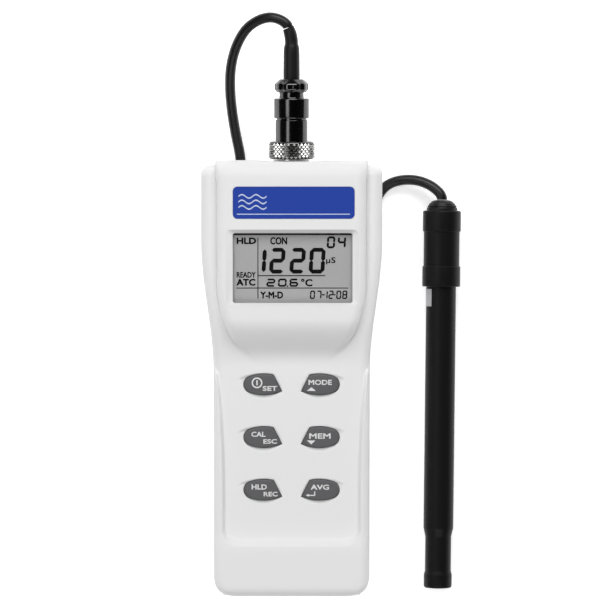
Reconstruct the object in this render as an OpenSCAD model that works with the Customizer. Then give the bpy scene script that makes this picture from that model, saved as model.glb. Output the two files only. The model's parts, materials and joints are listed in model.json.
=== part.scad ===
// Handheld water conductivity meter with a cabled probe.
// The meter lies on its back, and its head rests on the coil of spare cable.
// +X is the width, +Y runs from the grip to the connector, +Z points up from the bench.
// The meter is modelled flat, with its back at z = 0 and the grip end at y = 0, then tilted.

/* [Case] */
// Width of the case across the grip
grip_w = 63.2; // [58:0.1:74]
// Width of the case across the head
head_w = 73; // [71:0.1:88]
// Length of the case without the connector
case_l = 175.6; // [170:0.1:211]
// Height of the display face above the back
head_h = 36; // [34:0.5:44]
// Height of the rails beside the key panel
rail_h = 29.6; // [29.2:0.1:31]
// Height of the key panel above the back
keypad_h = 27.5; // [26:0.1:28.5]
// Height of the parting line, and of the connector's axis
split_h = 17; // [15:0.5:18]
// Thickness of the case walls
wall = 2.4; // [1.8:0.1:3]
// Radius of the long edges of the case
edge_r = 4; // [3:0.5:5]
// Radius of the corners at the grip end
grip_corner_r = 7; // [5:0.5:9]
// Radius of the corners beside the connector
head_corner_r = 3.2; // [2:0.1:5]

/* [Display] */
// Width of the display window
window_w = 47.9; // [40:0.1:49]
// Length of the display window
window_l = 28; // [24:0.1:29]
// Distance from the connector end to the middle of the window
window_from_end = 42.3; // [40:0.1:44]
// Depth of the sloped bezel above the window
bezel_d = 1.8; // [0.8:0.1:2]
// Thickness of the clear window
lens_t = 1.2; // [0.8:0.1:1.6]
// Width of the label plate
label_w = 48.4; // [40:0.1:50]
// Length of the label plate
label_l = 12.7; // [10:0.1:13.5]
// Distance from the connector end to the middle of the label
label_from_end = 16.1; // [15.5:0.1:17]

/* [Keys] */
// Length of a key across the case
key_l = 15.35; // [13:0.05:16]
// Width of a key along the case
key_w = 8.5; // [7:0.1:9.5]
// Radius of the two long arcs of a key
key_arc_r = 17; // [15:0.5:20]
// Distance from the centre line to the middle of a key's arcs
key_x = 11.1; // [10:0.1:12]
// Distance between rows of keys
row_pitch = 21.3; // [18:0.1:23]
// Distance from the grip end to the first row
first_row_y = 43.4; // [40:0.1:47]
// Travel of a key
key_travel = 0.9; // [0.5:0.1:1.2]
// Depth of the dish around a key
dish_d = 0.7; // [0.4:0.1:1]

/* [Connector] */
// Diameter of the knurled coupling ring
ring_d = 18.7; // [18:0.1:20]
// Diameter of the socket's thread
thread_d = 14.8; // [13.8:0.1:15.6]
// Diameter of the plug's lower barrel
barrel_d = 12.9; // [12:0.1:13.4]
// Diameter of the plug's back shell
back_shell_d = 14.1; // [13:0.1:16]
// Diameter of the cable clamp nut
clamp_d = 13.4; // [12.4:0.1:15]
// Diameter of the headphone-type output jack's bore
jack_d = 3.5; // [2.5:0.1:4]
// Distance from the centre line to the output jack
jack_x = 17.9; // [16:0.1:20]

/* [Probe] */
// Diameter of the probe tube
tube_d = 12.2; // [10:0.1:13.8]
// Length of the probe tube between the tip and the handle
tube_l = 98.5; // [80:0.5:120]
// Diameter of the two handle collars
collar_d = 15.5; // [15:0.1:19]
// Diameter of the handle between the collars
handle_d = 14.6; // [14.2:0.1:15]
// Diameter of the probe's tip
tip_d = 10.6; // [9:0.1:11.8]
// Diameter of the bead at the end of the tip
bead_d = 11.5; // [10.8:0.1:12]
// Bore of the measuring cell
cell_d = 7; // [6:0.1:8]

/* [Cable] */
// Diameter of the cable
cable_d = 4.2; // [3.6:0.1:5.1]
// Turns of the coil side by side
coil_wide = 3; // [2:1:3]
// Radius of the coil's middle turn
coil_r = 23.3; // [22:0.1:24]

/* [Hidden] */
$fn = 48;

// Clearances
fit = 0.1;
running = 0.05;
key_gap = 0.2;

// Case forms along its length
flank_l = case_l - 2.4;
waist_y = case_l - 85;
cheek_y = case_l - 33;
bulge_y0 = case_l - 87.6;
bulge_y1 = case_l - 47.6;
slope_y0 = case_l - 82.6;
bulge_half = head_w / 2 - 6.5;
end_block_half = bulge_half + 0.6;
foot_h = rail_h + 0.6;
foot_y = 21;
slope_y = case_l - 62.6;
rail_half = grip_w / 2 - 4.2;

// Heights of the inner stack, from the key panel down to the board
ceiling_z = keypad_h - wall;
flange_t = 0.9;
flange_z = ceiling_z - fit - flange_t;
mat_t = 1;
mat_z = flange_z - key_travel - fit - mat_t;
board_t = 1.6;
board_z = mat_z - board_t;
lens_z = head_h - bezel_d - 0.5 - lens_t;
lcd_t = 2.5;
lcd_z = lens_z - fit - lcd_t;

// Display places
window_x = 0.45;
window_y = case_l - window_from_end;
label_x = 0.9;
label_y = case_l - label_from_end;
lcd_w = window_w + 3.6;
lcd_l = window_l + 5.2;
frame_rim = 1.1;

// Connector places along the axis, from the case outwards
recess_y = case_l - 2;
recess_d = ring_d + 6.1;
socket_end = case_l + 4.6;
flange_end = socket_end + 1.6;
ring_y = case_l + 0.6;
ring_end = case_l + 7.7;
barrel_end = case_l + 16.3;
back_y = barrel_end + 0.6;
back_end = back_y + 8;
nut_y = back_end + 2.4;
nut_end = nut_y + 5.3;
boot_y = nut_end + 14.1;
boot_bend_r = 16;
boot_bend = 24;
boot_end = boot_y + boot_bend_r * sin(boot_bend);
boot_r = 3.3;
boot_thin_r = 2.65;
insert_r = 4.6;

// Battery bay, stand and screws
cell_r = 5.25;
cell_l = 44.5;
cells = 4;
cell_pitch = 2 * cell_r + 0.3;
bay_half = cells * cell_pitch / 2 + 0.3;
bay_y0 = wall + 4;
spring_l = 3.7;
bay_y1 = bay_y0 + cell_l + spring_l + 0.5;
bay_z = wall + 2 * cell_r + 1;
cover_half = bay_half - 0.8;
cover_end = bay_y1 - 0.4;
cover_t = wall - 0.5;
tongue = 1.4;
stand_w = 34;
stand_t = 2.2;
pin_r = 1;
barrel_r = 2.2;
hinge_z = barrel_r + 0.3;
hinge_y = waist_y + 11;
stand_end = bay_y1 + 6;
screw_r = 1.4;
screw_head_r = 2.7;
screw_places = [[grip_w / 2 - 6.2, waist_y + 4], [head_w / 2 - 6.4, flank_l - 12]];
board_posts = [[grip_w / 2 - wall - 2.6, foot_y + 8], [grip_w / 2 - wall - 2.6, waist_y + 12]];

// Cable coil and the tilt it gives the meter
coil_x = 0;
coil_y = case_l - 36.2;
coil_h = 2 * cable_d;
coil_out = coil_r + coil_wide * cable_d / 2;
coil_in = coil_r - coil_wide * cable_d / 2;
tie_t = 0.6;
tie_l = 6;
reach = coil_y - coil_out + cable_d / 2;
tilt_first = atan(coil_h / reach);
edge_drop = edge_r * (sin(tilt_first) + cos(tilt_first) - 1);
tilt = atan((coil_h + edge_drop + fit) / reach);

// Probe stations from the tip, and its place on the bench
bead_l = 7;
tip_l = 24.5;
ferrule_t = tip_l + tube_l;
handle_t = ferrule_t + 8.4;
cap_t = handle_t + 14;
relief_t = cap_t + 8.6;
relief_l = 4.3;
probe_x = 59.6;
probe_y = 0;
probe_lean = 0.63;
probe_slope = asin((collar_d - bead_d) / 2 / (ferrule_t - bead_l / 2));

// Middle of the part without its cable
mid_x = (probe_x + sin(probe_lean) * relief_t + collar_d / 2 - head_w / 2) / 2;
mid_y = ((boot_end + boot_thin_r * sin(boot_bend)) * cos(tilt) - split_h * sin(tilt)
    - (foot_h - edge_r) * sin(tilt) - edge_r * (1 - cos(tilt))) / 2;

// Routes of the cable from the plug to the coil, and from the coil to the probe, on the bench
boot_z = boot_end * sin(tilt) + split_h * cos(tilt) - edge_drop;
boot_out = boot_end * cos(tilt) - split_h * sin(tilt) - 225.7;
longer = case_l - 175.6;
plug_points = [[-1.45, 225.85, 34.6], [-2.05, 227.3, 34.7], [-4.8, 229.4, 34.5], [-9, 230.5, 33.4],
    [-13.9, 229.4, 31.4], [-18.6, 226, 28.4], [-22.4, 219.8, 24.2], [-24.6, 211.8, 19.2],
    [-25, 202.8, 14], [-24.2, 193.6, 9.4], [-22.8, 185, 5.8], [-21.2, 177, 3.5],
    [-20.8, 169.8, 2.4], [-22.2, 164, 2.1], [-24.3, 159.4, 2.1], [-25.8, 155.4, 2.1],
    [-26.5, 151, 2.1], [-26.6, 146.5, 2.1]];
plug_route = [for (i = [0:len(plug_points) - 1]) let (p = plug_points[i], near = max(0, 1 - i / 6))
    [p[0], p[1] + longer + (boot_out - longer) * near,
        cable_d / 2 + (p[2] - 2.1) * (boot_z - cable_d / 2) / 32.5]];
probe_points = [[23.8, 125.7, 6.3], [26.6, 130, 6.3], [29, 134.4, 5.9], [31.1, 139, 4.5],
    [32.6, 144, 3], [33.4, 149.4, 2.2], [34, 154.8, 2.1], [35.4, 160, 2.2], [38.2, 163.8, 2.6],
    [42.4, 166, 3.4], [47.6, 166.7, 4.5], [52.6, 166, 5.8], [57, 164, 7.2], [60.1, 161.4, 8.1],
    [61.2, 159.4, 8.4], [61.3, 158.4, 8.4]];
probe_route = let (n = len(probe_points) - 1) [for (i = [0:n]) let (p = probe_points[i])
    [p[0], p[1] + longer * (1 - i / n) + (tube_l - 98.5) * i / n, p[2] + cable_d / 2 - 2.1]];

function smooth(a, b, t) = let (u = max(0, min(1, (t - a) / (b - a)))) u * u * (3 - 2 * u);

// Inset of a rounded corner of radius r, at a distance d from its end
function corner(d, r) = d >= r ? 0 : r - sqrt(r * r - (r - d) * (r - d));

// Stops along a rounded corner of radius r
function corner_stops(r) = [for (a = [0:15:90]) r * (1 - cos(a))];

function half_w(y) = grip_w / 2 + (head_w - grip_w) / 2 * smooth(waist_y, cheek_y, y);
function plan_w(y) = half_w(y) - corner(y, grip_corner_r) - corner(flank_l - y, head_corner_r);
function bulge_w(y) = let (u = min(1, (y - bulge_y0) / (bulge_y1 - bulge_y0)))
    bulge_half * sqrt(1 - pow(1 - u, 2)) + 0.6 * smooth(flank_l - 8, flank_l, y);
function bulge_top(y) = keypad_h - 1 + (head_h - keypad_h + 1) * smooth(slope_y0, slope_y, y)
    - corner(case_l - y, 6);

// Stations of the case, from the grip end to the end of the flanks
case_stops = concat(corner_stops(grip_corner_r), [edge_r], [for (y = [14:18:waist_y]) y],
    [for (i = [0:9]) waist_y + i * (cheek_y - waist_y) / 9],
    [for (i = [6:-1:0]) flank_l - corner_stops(head_corner_r)[i]]);
function sorted(v) = len(v) <= 1 ? v : let (p = v[floor(len(v) / 2)])
    concat(sorted([for (e = v) if (e < p) e]), [p], sorted([for (e = v) if (e > p) e]));
base_stops = sorted(case_stops);
bulge_stops = concat([for (s = [4, 5.5, 7.5, 10, 12.5, 15, 17.5, 20, 22.5, 25, 29, 34, 40]) bulge_y0 + s],
    [for (i = [6:-1:0]) case_l - corner_stops(6)[i]]);

// A closed solid through rings of points, all of one length
module skin(rings) {
    n = len(rings[0]);
    last = len(rings) - 1;
    polyhedron(
        points = [for (ring = rings, p = ring) p],
        faces = concat(
            [[for (i = [n - 1:-1:0]) i]],
            [for (k = [0:last - 1], i = [0:n - 1])
                [k * n + i, k * n + (i + 1) % n, (k + 1) * n + (i + 1) % n, (k + 1) * n + i]],
            [[for (i = [0:n - 1]) last * n + i]]),
        convexity = 6);
}

// Cross-section at y, open side down: half-width w, from height z0 up to z1, edge radius r
function hump(y, w, z0, z1, r, draft = 0.4) = concat(
    [[w, y, z0]],
    [for (a = [0:15:90]) [w - draft - r + r * cos(a), y, z1 - r + r * sin(a)]],
    [for (a = [90:15:180]) [-w + draft + r + r * cos(a), y, z1 - r + r * sin(a)]],
    [[-w, y, z0]]);

module in_meter() translate([-mid_x, -mid_y, -edge_drop]) rotate([tilt, 0, 0]) children();
module on_bench() translate([-mid_x, -mid_y, 0]) children();
module in_probe() on_bench() translate([probe_x, probe_y, bead_d / 2 + 0.003])
    rotate([probe_slope - 90, 0, -probe_lean]) children();
module both_sides() {
    children();
    mirror([1, 0, 0]) children();
}

// A plate with rounded corners, centred in x and y
module plate(w, l, t, r) {
    linear_extrude(t) for (k = [0, 1]) {
        square([w - 2 * r * k, l - 2 * r * (1 - k)], center = true);
        for (x = [-1, 1]) translate([x * (w / 2 - r), (2 * k - 1) * (l / 2 - r)]) circle(r);
    }
}

// A round part on the connector's axis, from y0 to y1
module on_axis(y0, y1, r, x = 0) translate([x, y0, split_h]) rotate([-90, 0, 0])
    cylinder(h = y1 - y0, r = r);

// A revolved profile on the connector's axis, with points of [radius, y]
module turned(profile) translate([0, 0, split_h]) rotate([-90, 0, 0])
    rotate_extrude() polygon(profile);

// The plan of the case, set in by a margin
module case_plan(inset, y0, y1) {
    stops = concat([y0], [for (y = base_stops) if (y > y0 + 2 && y < y1 - 2) y], [y1]);
    polygon(concat([for (y = stops) [half_w(y) - inset, y]],
        [for (i = [len(stops) - 1:-1:0]) [inset - half_w(stops[i]), stops[i]]]));
}

// Front shell ---------------------------------------------------------------

module front_body() {
    skin([for (y = base_stops) hump(y, plan_w(y), split_h,
        rail_h + (foot_h - rail_h) * (1 - smooth(18, 26, y)) - corner(y, edge_r)
            - corner(flank_l - y, head_corner_r), edge_r)]);
    skin([for (y = bulge_stops) hump(y, bulge_w(y), split_h, bulge_top(y), 4)]);
}

// The sunk key panel: it starts at the foot, widens at the waist and rises to the flanks
module panel_recess() {
    stops = concat([for (i = [0:7]) foot_y + 8 * (1 - cos(i * 90 / 7))],
        [for (i = [1:10]) foot_y + 8 + i * (waist_y - foot_y - 5) / 10],
        [for (i = [1:6]) waist_y + 3 + i * (slope_y - waist_y - 3) / 6]);
    skin([for (y = stops)
        let (w = rail_half * pow(1 - pow(max(0, 1 - (y - foot_y + 0.4) / 8), 2.2), 1 / 2.2)
                + 3 * pow(max(0, y - foot_y - 24) / 48, 2)
                + 6 * smooth(waist_y - 2, waist_y + 6, y),
            z = keypad_h + (foot_h - keypad_h) * (1 - smooth(foot_y, foot_y + 2.4, y))
                + (rail_h - keypad_h + 0.1) * smooth(waist_y + 3, slope_y, y),
            top = foot_h + 1)
        [[w, y, z], [w + 2, y, top], [-w - 2, y, top], [-w, y, z]]]);
}

// Outline of a key: two long arcs, a round outer end and a slanted inner side
module key_plan(grow = 0) {
    arc_c = key_arc_r - key_w / 2;
    out = key_l * 0.528;
    end_r = (key_arc_r * key_arc_r - out * out - arc_c * arc_c) / (2 * (key_arc_r - out));
    end_x = out - end_r;
    turn = atan2(arc_c, end_x);
    r = key_arc_r + grow;
    top_in = acos(-(key_l * 0.241 + grow) / r);
    low_in = acos(-(key_l * 0.472 + grow) / r);
    polygon(concat(
        [for (i = [0:8]) let (a = top_in + (turn - top_in) * i / 8)
            [r * cos(a), r * sin(a) - arc_c]],
        [for (i = [1:7]) let (a = turn - 2 * turn * i / 8)
            [end_x + (end_r + grow) * cos(a), (end_r + grow) * sin(a)]],
        [for (i = [0:8]) let (a = turn + (low_in - turn) * i / 8)
            [r * cos(a), arc_c - r * sin(a)]]));
}

// The leaf-shaped dish around a key, with its point on the outer side
module dish_plan() difference() {
    intersection_for (s = [-1, 1])
        translate([0, s * (key_arc_r - key_w / 2)]) circle(key_arc_r + 0.35, $fn = 96);
    translate([-key_l / 2 - 10.6, -key_w]) square([10, 2 * key_w]);
}

// Places its children at a key: side -1 or 1, row 0 to 2
module at_key(side, row) translate([0, first_row_y + row * row_pitch, 0])
    scale([side, 1, 1]) translate([key_x, 0, 0]) children();

module front_case() color("gainsboro") in_meter() difference() {
    union() {
        difference() {
            front_body();
            panel_recess();
            // Inside of the grip and the head
            translate([0, 0, split_h - 1]) linear_extrude(ceiling_z - split_h + 1)
                case_plan(wall + 0.4, wall, flank_l - wall);
            translate([0, (slope_y + flank_l - wall) / 2 - 0.5, split_h - 1])
                plate(lcd_w + 2 * frame_rim + 1, flank_l - wall - slope_y + 1, lens_z - split_h + 1, 1.5);
        }
        both_sides() {
            for (p = screw_places) translate([p[0], p[1], split_h])
                cylinder(h = ceiling_z - split_h + 0.5, r = 3);
            for (p = board_posts) translate([p[0], p[1], board_z + board_t])
                cylinder(h = ceiling_z - board_z - board_t + 0.5, r = 2.1);
        }
    }
    both_sides() {
        for (p = screw_places) translate([p[0], p[1], split_h - 1])
            cylinder(h = ceiling_z - split_h, r = screw_r + 0.02);
        for (p = board_posts) translate([p[0], p[1], board_z])
            cylinder(h = ceiling_z - board_z, r = 1.02);
    }
    // Window, its sloped bezel and the seat of the clear window
    translate([window_x, window_y, split_h]) plate(window_w, window_l, head_h, 1);
    translate([window_x, window_y, 0]) hull() {
        translate([0, 0, lens_z + lens_t + 0.5]) plate(window_w, window_l, 0.1, 1, $fn = 16);
        translate([0, 0.8, head_h]) plate(window_w + 5, window_l + 4, 0.1, 1.6, $fn = 16);
    }
    translate([window_x, window_y, lens_z - 0.1])
        plate(window_w + 3.2, window_l + 3.2, lens_t + 0.1, 1.5);
    translate([label_x, label_y, head_h - 0.45]) plate(label_w + 0.2, label_l + 0.2, 2, 1.9);
    for (side = [-1, 1], row = [0:2]) at_key(side, row) {
        translate([0, 0, keypad_h - dish_d]) linear_extrude(2) dish_plan();
        translate([0, 0, ceiling_z - 1]) linear_extrude(5) key_plan(key_gap);
    }
    on_axis(recess_y, case_l + 1, recess_d / 2);
    on_axis(flank_l - wall - 1, case_l, 6.5);
    on_axis(flank_l - wall - 1, case_l + 1, jack_d / 2 + 1.2 + fit, jack_x);
}

// Rear shell ----------------------------------------------------------------

module rear_body() {
    skin([for (y = base_stops)
        let (w = plan_w(y), z = corner(y, edge_r) + corner(flank_l - y, head_corner_r))
        concat([[-w, y, split_h]],
            [for (a = [180:15:270]) [-w + edge_r + edge_r * cos(a), y, z + edge_r + edge_r * sin(a)]],
            [for (a = [270:15:360]) [w - edge_r + edge_r * cos(a), y, z + edge_r + edge_r * sin(a)]],
            [[w, y, split_h]])]);
    // End block around the connector
    translate([-end_block_half, 0, 0]) rotate([90, 0, 90]) linear_extrude(2 * end_block_half)
        polygon(concat([[flank_l - 9, split_h], [flank_l - 9, edge_r]],
            [for (a = [-70:10:0]) [case_l - 13 + 13 * cos(a), split_h + 13 * sin(a)]]));
}

module battery_cover_form(grow, past) {
    translate([-cover_half - grow, -past, -1])
        cube([2 * (cover_half + grow), cover_end + grow + past, cover_t + grow + 1]);
    translate([-cover_half - tongue - grow, -past, cover_t - 0.8 - grow])
        cube([2 * (cover_half + tongue + grow), cover_end + grow + past, 0.8 + 2 * grow]);
}

module rear_case() color("gainsboro") in_meter() difference() {
    union() {
        difference() {
            rear_body();
            translate([0, 0, wall]) linear_extrude(split_h)
                case_plan(wall + 0.4, wall, flank_l - wall);
        }
        // Battery box, stand pocket and screw bosses
        translate([-bay_half - 1.5, wall / 2, wall / 2])
            cube([2 * bay_half + 3, bay_y1 + 1.5 - wall / 2, bay_z + 1.2 - wall / 2]);
        translate([-stand_w / 2 - 2, stand_end - 6, wall / 2])
            cube([stand_w + 4, hinge_y + barrel_r + 2.3 - stand_end + 6, hinge_z + barrel_r + 1.6 - wall / 2]);
        both_sides() for (p = screw_places) translate([p[0], p[1], wall / 2])
            cylinder(h = split_h - wall / 2, r = 3.8);
    }
    translate([-bay_half, bay_y0, -1]) cube([2 * bay_half, bay_y1 - bay_y0, bay_z + 1]);
    intersection() {
        battery_cover_form(0.15, 1);
        translate([-50, -1, -2]) cube([100, bay_y1 + 2, wall + 2]);
    }
    // Stand recess with a finger notch
    translate([-stand_w / 2 - 0.3, stand_end - 4, -1])
        cube([stand_w + 0.6, hinge_y - stand_end + 4, stand_t + 1.8]);
    translate([-stand_w / 2 - 0.3, hinge_y - barrel_r - 0.6, -1])
        cube([stand_w + 0.6, 2 * barrel_r + 1.2, hinge_z + barrel_r + 1.5]);
    translate([-stand_w / 2 - 2.5, hinge_y, hinge_z]) rotate([0, 90, 0])
        cylinder(h = stand_w + 5, r = pin_r);
    both_sides() for (p = screw_places) translate([p[0], p[1], -1]) {
        cylinder(h = split_h + 2, r = screw_r + 0.15);
        cylinder(h = split_h - 6 + 1, r = screw_head_r + 0.25);
    }
    on_axis(recess_y, case_l + 1, recess_d / 2);
    on_axis(flank_l - wall - 1, case_l, 6.5);
    on_axis(flank_l - wall - 1, case_l + 1, jack_d / 2 + 1.2 + fit, jack_x);
}

// Display -------------------------------------------------------------------

module label_plate() color("royalblue") in_meter()
    translate([label_x, label_y, head_h - 0.45]) plate(label_w, label_l, 0.5, 1.8);

module lcd_window() color("lightcyan", 0.4) in_meter()
    translate([window_x, window_y, lens_z]) plate(window_w + 3, window_l + 3, lens_t, 1.4);

module lcd_glass() color("darkgray") in_meter()
    translate([window_x - lcd_w / 2, window_y - lcd_l / 2, lcd_z]) cube([lcd_w, lcd_l, lcd_t]);

module lcd_frame() color("whitesmoke") in_meter() translate([window_x, window_y, board_z + board_t])
    difference() {
        plate(lcd_w + 2 * frame_rim, lcd_l + 2 * frame_rim, lcd_z + 1.5 - board_z - board_t, 1);
        // Seat of the glass, the open middle and two slots for the contact strips
        translate([-lcd_w / 2 - fit, -lcd_l / 2 - fit, lcd_z - board_z - board_t])
            cube([lcd_w + 2 * fit, lcd_l + 2 * fit, lcd_t]);
        plate(lcd_w - 6, lcd_l - 11, 60, 1);
        for (s = [-1, 1]) translate([0, s * (lcd_l / 2 - 2.6), 0]) plate(lcd_w - 3.8, 2.2, 60, 0.4);
    }

module zebra_strips() color("dimgray") in_meter()
    for (s = [-1, 1]) translate([window_x, window_y + s * (lcd_l / 2 - 2.6), board_z + board_t])
        plate(lcd_w - 4, 2, lcd_z - board_z - board_t, 0.3);

// Boards and keypad -----------------------------------------------------------

module main_board() color("darkgreen") in_meter() translate([0, 0, board_z]) difference() {
    linear_extrude(board_t) difference() {
        case_plan(wall + 1.6, wall + 6, case_l - 22);
        both_sides_plan() {
            for (p = screw_places) translate(p) circle(3.6);
            for (p = board_posts) translate(p) circle(1.2);
        }
    }
}

module both_sides_plan() {
    children();
    mirror([1, 0]) children();
}

// Chips and small parts under and on the board, as [x, y, w, l, h]
board_chips = [[-6, 30, 14, 14, 1.6], [9, 52, 9, 6, 1.5], [-10, 56, 7, 5, 1.4],
    [4, 74, 6, 5, 1.4], [14, 88, 5, 3, 1.1], [3, 100, 9, 6, 2.6]];
module board_parts() color("black") in_meter() for (c = board_chips)
    translate([c[0], c[1] * case_l / 175.6, board_z - c[4]]) translate([-c[2] / 2, -c[3] / 2, 0])
        cube([c[2], c[3], c[4]]);

module board_screws() color("silver") in_meter() both_sides()
    for (p = board_posts) translate([p[0], p[1], board_z - 1.4]) {
        cylinder(h = 1.4, r = 1.9);
        cylinder(h = ceiling_z - board_z - 0.6, r = 1);
    }

module buzzer() color("black") in_meter()
    translate([-grip_w / 2 + 18, waist_y + 16, board_z - 5.2]) difference() {
        cylinder(h = 5.2, r = 6);
        translate([0, 0, -1]) cylinder(h = 1.6, r = 1);
    }

module keypad_mat() color("gray") in_meter() translate([0, 0, mat_z])
    translate([0, first_row_y + row_pitch, 0])
        plate(2 * (key_x + key_l / 2) + 6, 2 * row_pitch + key_w + 5, mat_t, 2);

module key_domes() color("lightgray") in_meter() for (side = [-1, 1], row = [0:2])
    at_key(side, row) translate([0.5, 0, mat_z + mat_t])
        cylinder(h = flange_z - mat_z - mat_t, r1 = 3.4, r2 = 2.4);

module key(side, row) color("dimgray") in_meter() at_key(side, row) {
    translate([0, 0, flange_z]) linear_extrude(flange_t) key_plan(0.7);
    intersection() {
        translate([0, 0, flange_z + flange_t / 2]) linear_extrude(wall + 3) key_plan();
        translate([0.5, 0, keypad_h + 1.1 - 42]) sphere(42, $fn = 96);
    }
}
module power_key() key(-1, 2);
module mode_key() key(1, 2);
module calibrate_key() key(-1, 1);
module memory_key() key(1, 1);
module hold_key() key(-1, 0);
module enter_key() key(1, 0);

// Fasteners, batteries and stand ------------------------------------------------

module case_screws() color("silver") in_meter() both_sides() for (p = screw_places)
    translate([p[0], p[1], split_h - 6]) difference() {
        union() {
            translate([0, 0, -2.2]) cylinder(h = 2.2, r = screw_head_r);
            cylinder(h = ceiling_z - split_h + 4, r = screw_r);
        }
        for (a = [0, 90]) rotate(a) translate([-1.6, -0.35, -3]) cube([3.2, 0.7, 2]);
    }

module battery_cover() color("gainsboro") in_meter() difference() {
    intersection() {
        rear_body();
        battery_cover_form(0, 1);
    }
    // Thumb ribs
    for (i = [0:4]) translate([-8, 34 + 3 * i, -0.5]) cube([16, 1.2, 1]);
}

module batteries() color("slategray") in_meter() for (i = [0:cells - 1])
    translate([(i - (cells - 1) / 2) * cell_pitch, i % 2 == 0 ? bay_y0 + spring_l : bay_y1 - spring_l,
        wall + cell_r + 0.3]) rotate([i % 2 == 0 ? -90 : 90, 0, 0]) {
        cylinder(h = cell_l - 1, r = cell_r);
        translate([0, 0, cell_l - 1]) cylinder(h = 1, r = 1.9);
    }

module battery_contacts() color("silver") in_meter() for (i = [0:cells - 1], s = [0, 1]) {
    x = (i - (cells - 1) / 2) * cell_pitch;
    spring = (i + s) % 2 == 0;
    translate([x - 4, s == 0 ? bay_y0 : bay_y1 - 0.4, wall + 1.5]) cube([8, 0.4, 2 * cell_r - 2]);
    translate([x, s == 0 ? bay_y0 + 0.3 : bay_y1 - 0.3, wall + cell_r + 0.3])
        rotate([s == 0 ? -90 : 90, 0, 0])
            if (spring) for (k = [0:2]) translate([0, 0, k * 1.1])
                rotate_extrude() translate([3.4 - k * 0.5, 0.6]) circle(0.55, $fn = 16);
}

module tilt_stand() color("gainsboro") in_meter() difference() {
    union() {
        translate([-stand_w / 2, stand_end, 0.3]) cube([stand_w, hinge_y - stand_end, stand_t]);
        translate([-stand_w / 2, hinge_y, hinge_z]) rotate([0, 90, 0])
            cylinder(h = stand_w, r = barrel_r);
    }
    translate([-stand_w / 2 - 1, hinge_y, hinge_z]) rotate([0, 90, 0])
        cylinder(h = stand_w + 2, r = pin_r + running);
    // Weight-saving window in the stand
    translate([0, (stand_end + hinge_y) / 2 - 1, -1])
        plate(stand_w - 14, hinge_y - stand_end - 16, 6, 3);
}

module stand_pin() color("silver") in_meter()
    translate([-stand_w / 2 - 1.9, hinge_y, hinge_z]) rotate([0, 90, 0])
        cylinder(h = stand_w + 3.8, r = pin_r);

// Connector -------------------------------------------------------------------

module output_jack() color("black") in_meter() difference() {
    union() {
        on_axis(flank_l - wall - 11, case_l - 0.4, jack_d / 2 + 1.2, jack_x);
        translate([jack_x - 4.5, flank_l - wall - 13, split_h - 4.5]) cube([9, 12, 7.6]);
    }
    on_axis(flank_l - wall - 11, case_l + 1, jack_d / 2, jack_x);
}

module probe_socket() color("silver") in_meter() difference() {
    turned([[5.6, case_l - 11], [6.4, case_l - 11], [6.4, recess_y], [thread_d / 2, recess_y],
        [thread_d / 2, socket_end], [5.6, socket_end]]);
    // Key slot
    translate([-0.6, socket_end - 2, split_h + 5]) cube([1.2, 3, 1.2]);
}

module socket_nut() color("silver") in_meter() difference() {
    translate([0, flank_l - wall - 2.6, split_h]) rotate([-90, 0, 0]) cylinder(h = 2.6, r = 8.2, $fn = 6);
    on_axis(flank_l - wall - 4, flank_l, 6.42);
}

module contact_ring(r0, n) for (i = [0:n - 1]) rotate(i * 360 / n) translate([r0, 0]) children();

module socket_insert() color("black") in_meter() difference() {
    on_axis(case_l - 10.5, case_l, 5.58);
    translate([0, case_l - 12, split_h]) rotate([-90, 0, 0]) contact_ring(2.8, 5)
        cylinder(h = 14, r = 0.92);
}

module socket_contacts() color("gold") in_meter() translate([0, case_l - 13.5, split_h])
    rotate([-90, 0, 0]) contact_ring(2.8, 5) difference() {
        cylinder(h = 13.2, r = 0.9);
        translate([0, 0, 3]) cylinder(h = 11, r = 0.56);
    }

module coupling_ring() color("silver") in_meter() turned([
    [thread_d / 2 + running, ring_y + 0.6], [thread_d / 2 + running + 0.6, ring_y],
    [ring_d / 2 - 1, ring_y], [ring_d / 2, ring_y + 1], [ring_d / 2, ring_end - 1.2],
    [ring_d / 2 - 1.2, ring_end], [barrel_d / 2 + running, ring_end],
    [barrel_d / 2 + running, flange_end + fit], [thread_d / 2 + running, flange_end + fit]]);

module plug_shell() color("silver") in_meter() turned([
    [insert_r, case_l + 0.2], [5.5, case_l + 0.2], [5.5, socket_end + fit],
    [thread_d / 2 - 0.1, socket_end + fit], [thread_d / 2 - 0.1, flange_end],
    [barrel_d / 2, flange_end], [barrel_d / 2, barrel_end - 0.5], [barrel_d / 2 - 0.5, barrel_end],
    [barrel_d / 2 - 0.6, barrel_end], [barrel_d / 2 - 0.6, back_y], [5.6, back_y],
    [5.6, back_y + 3.3], [insert_r, back_y + 3.3]]);

module plug_insert() color("black") in_meter() difference() {
    on_axis(case_l + 0.4, back_y + 3.3, insert_r);
    translate([0, case_l - 1, split_h]) rotate([-90, 0, 0]) contact_ring(2.8, 5)
        cylinder(h = 30, r = 0.52);
}

module plug_pins() color("gold") in_meter() translate([0, case_l - 6, split_h])
    rotate([-90, 0, 0]) contact_ring(2.8, 5) cylinder(h = back_y + 5 - case_l + 6, r = 0.5);

module plug_back_shell() color("silver") in_meter() turned([
    [5.65, back_y], [back_shell_d / 2 - 0.5, back_y], [back_shell_d / 2, back_y + 0.5],
    [back_shell_d / 2, back_end - 1.2], [back_shell_d / 2 - 1.2, back_end], [5, back_end],
    [5, nut_end - 1.6], [boot_r + 0.1, nut_end - 1.6], [boot_r + 0.1, back_end - 1],
    [insert_r, back_end - 1.5], [insert_r, back_y + 3.5], [5.65, back_y + 3.5]]);

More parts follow.
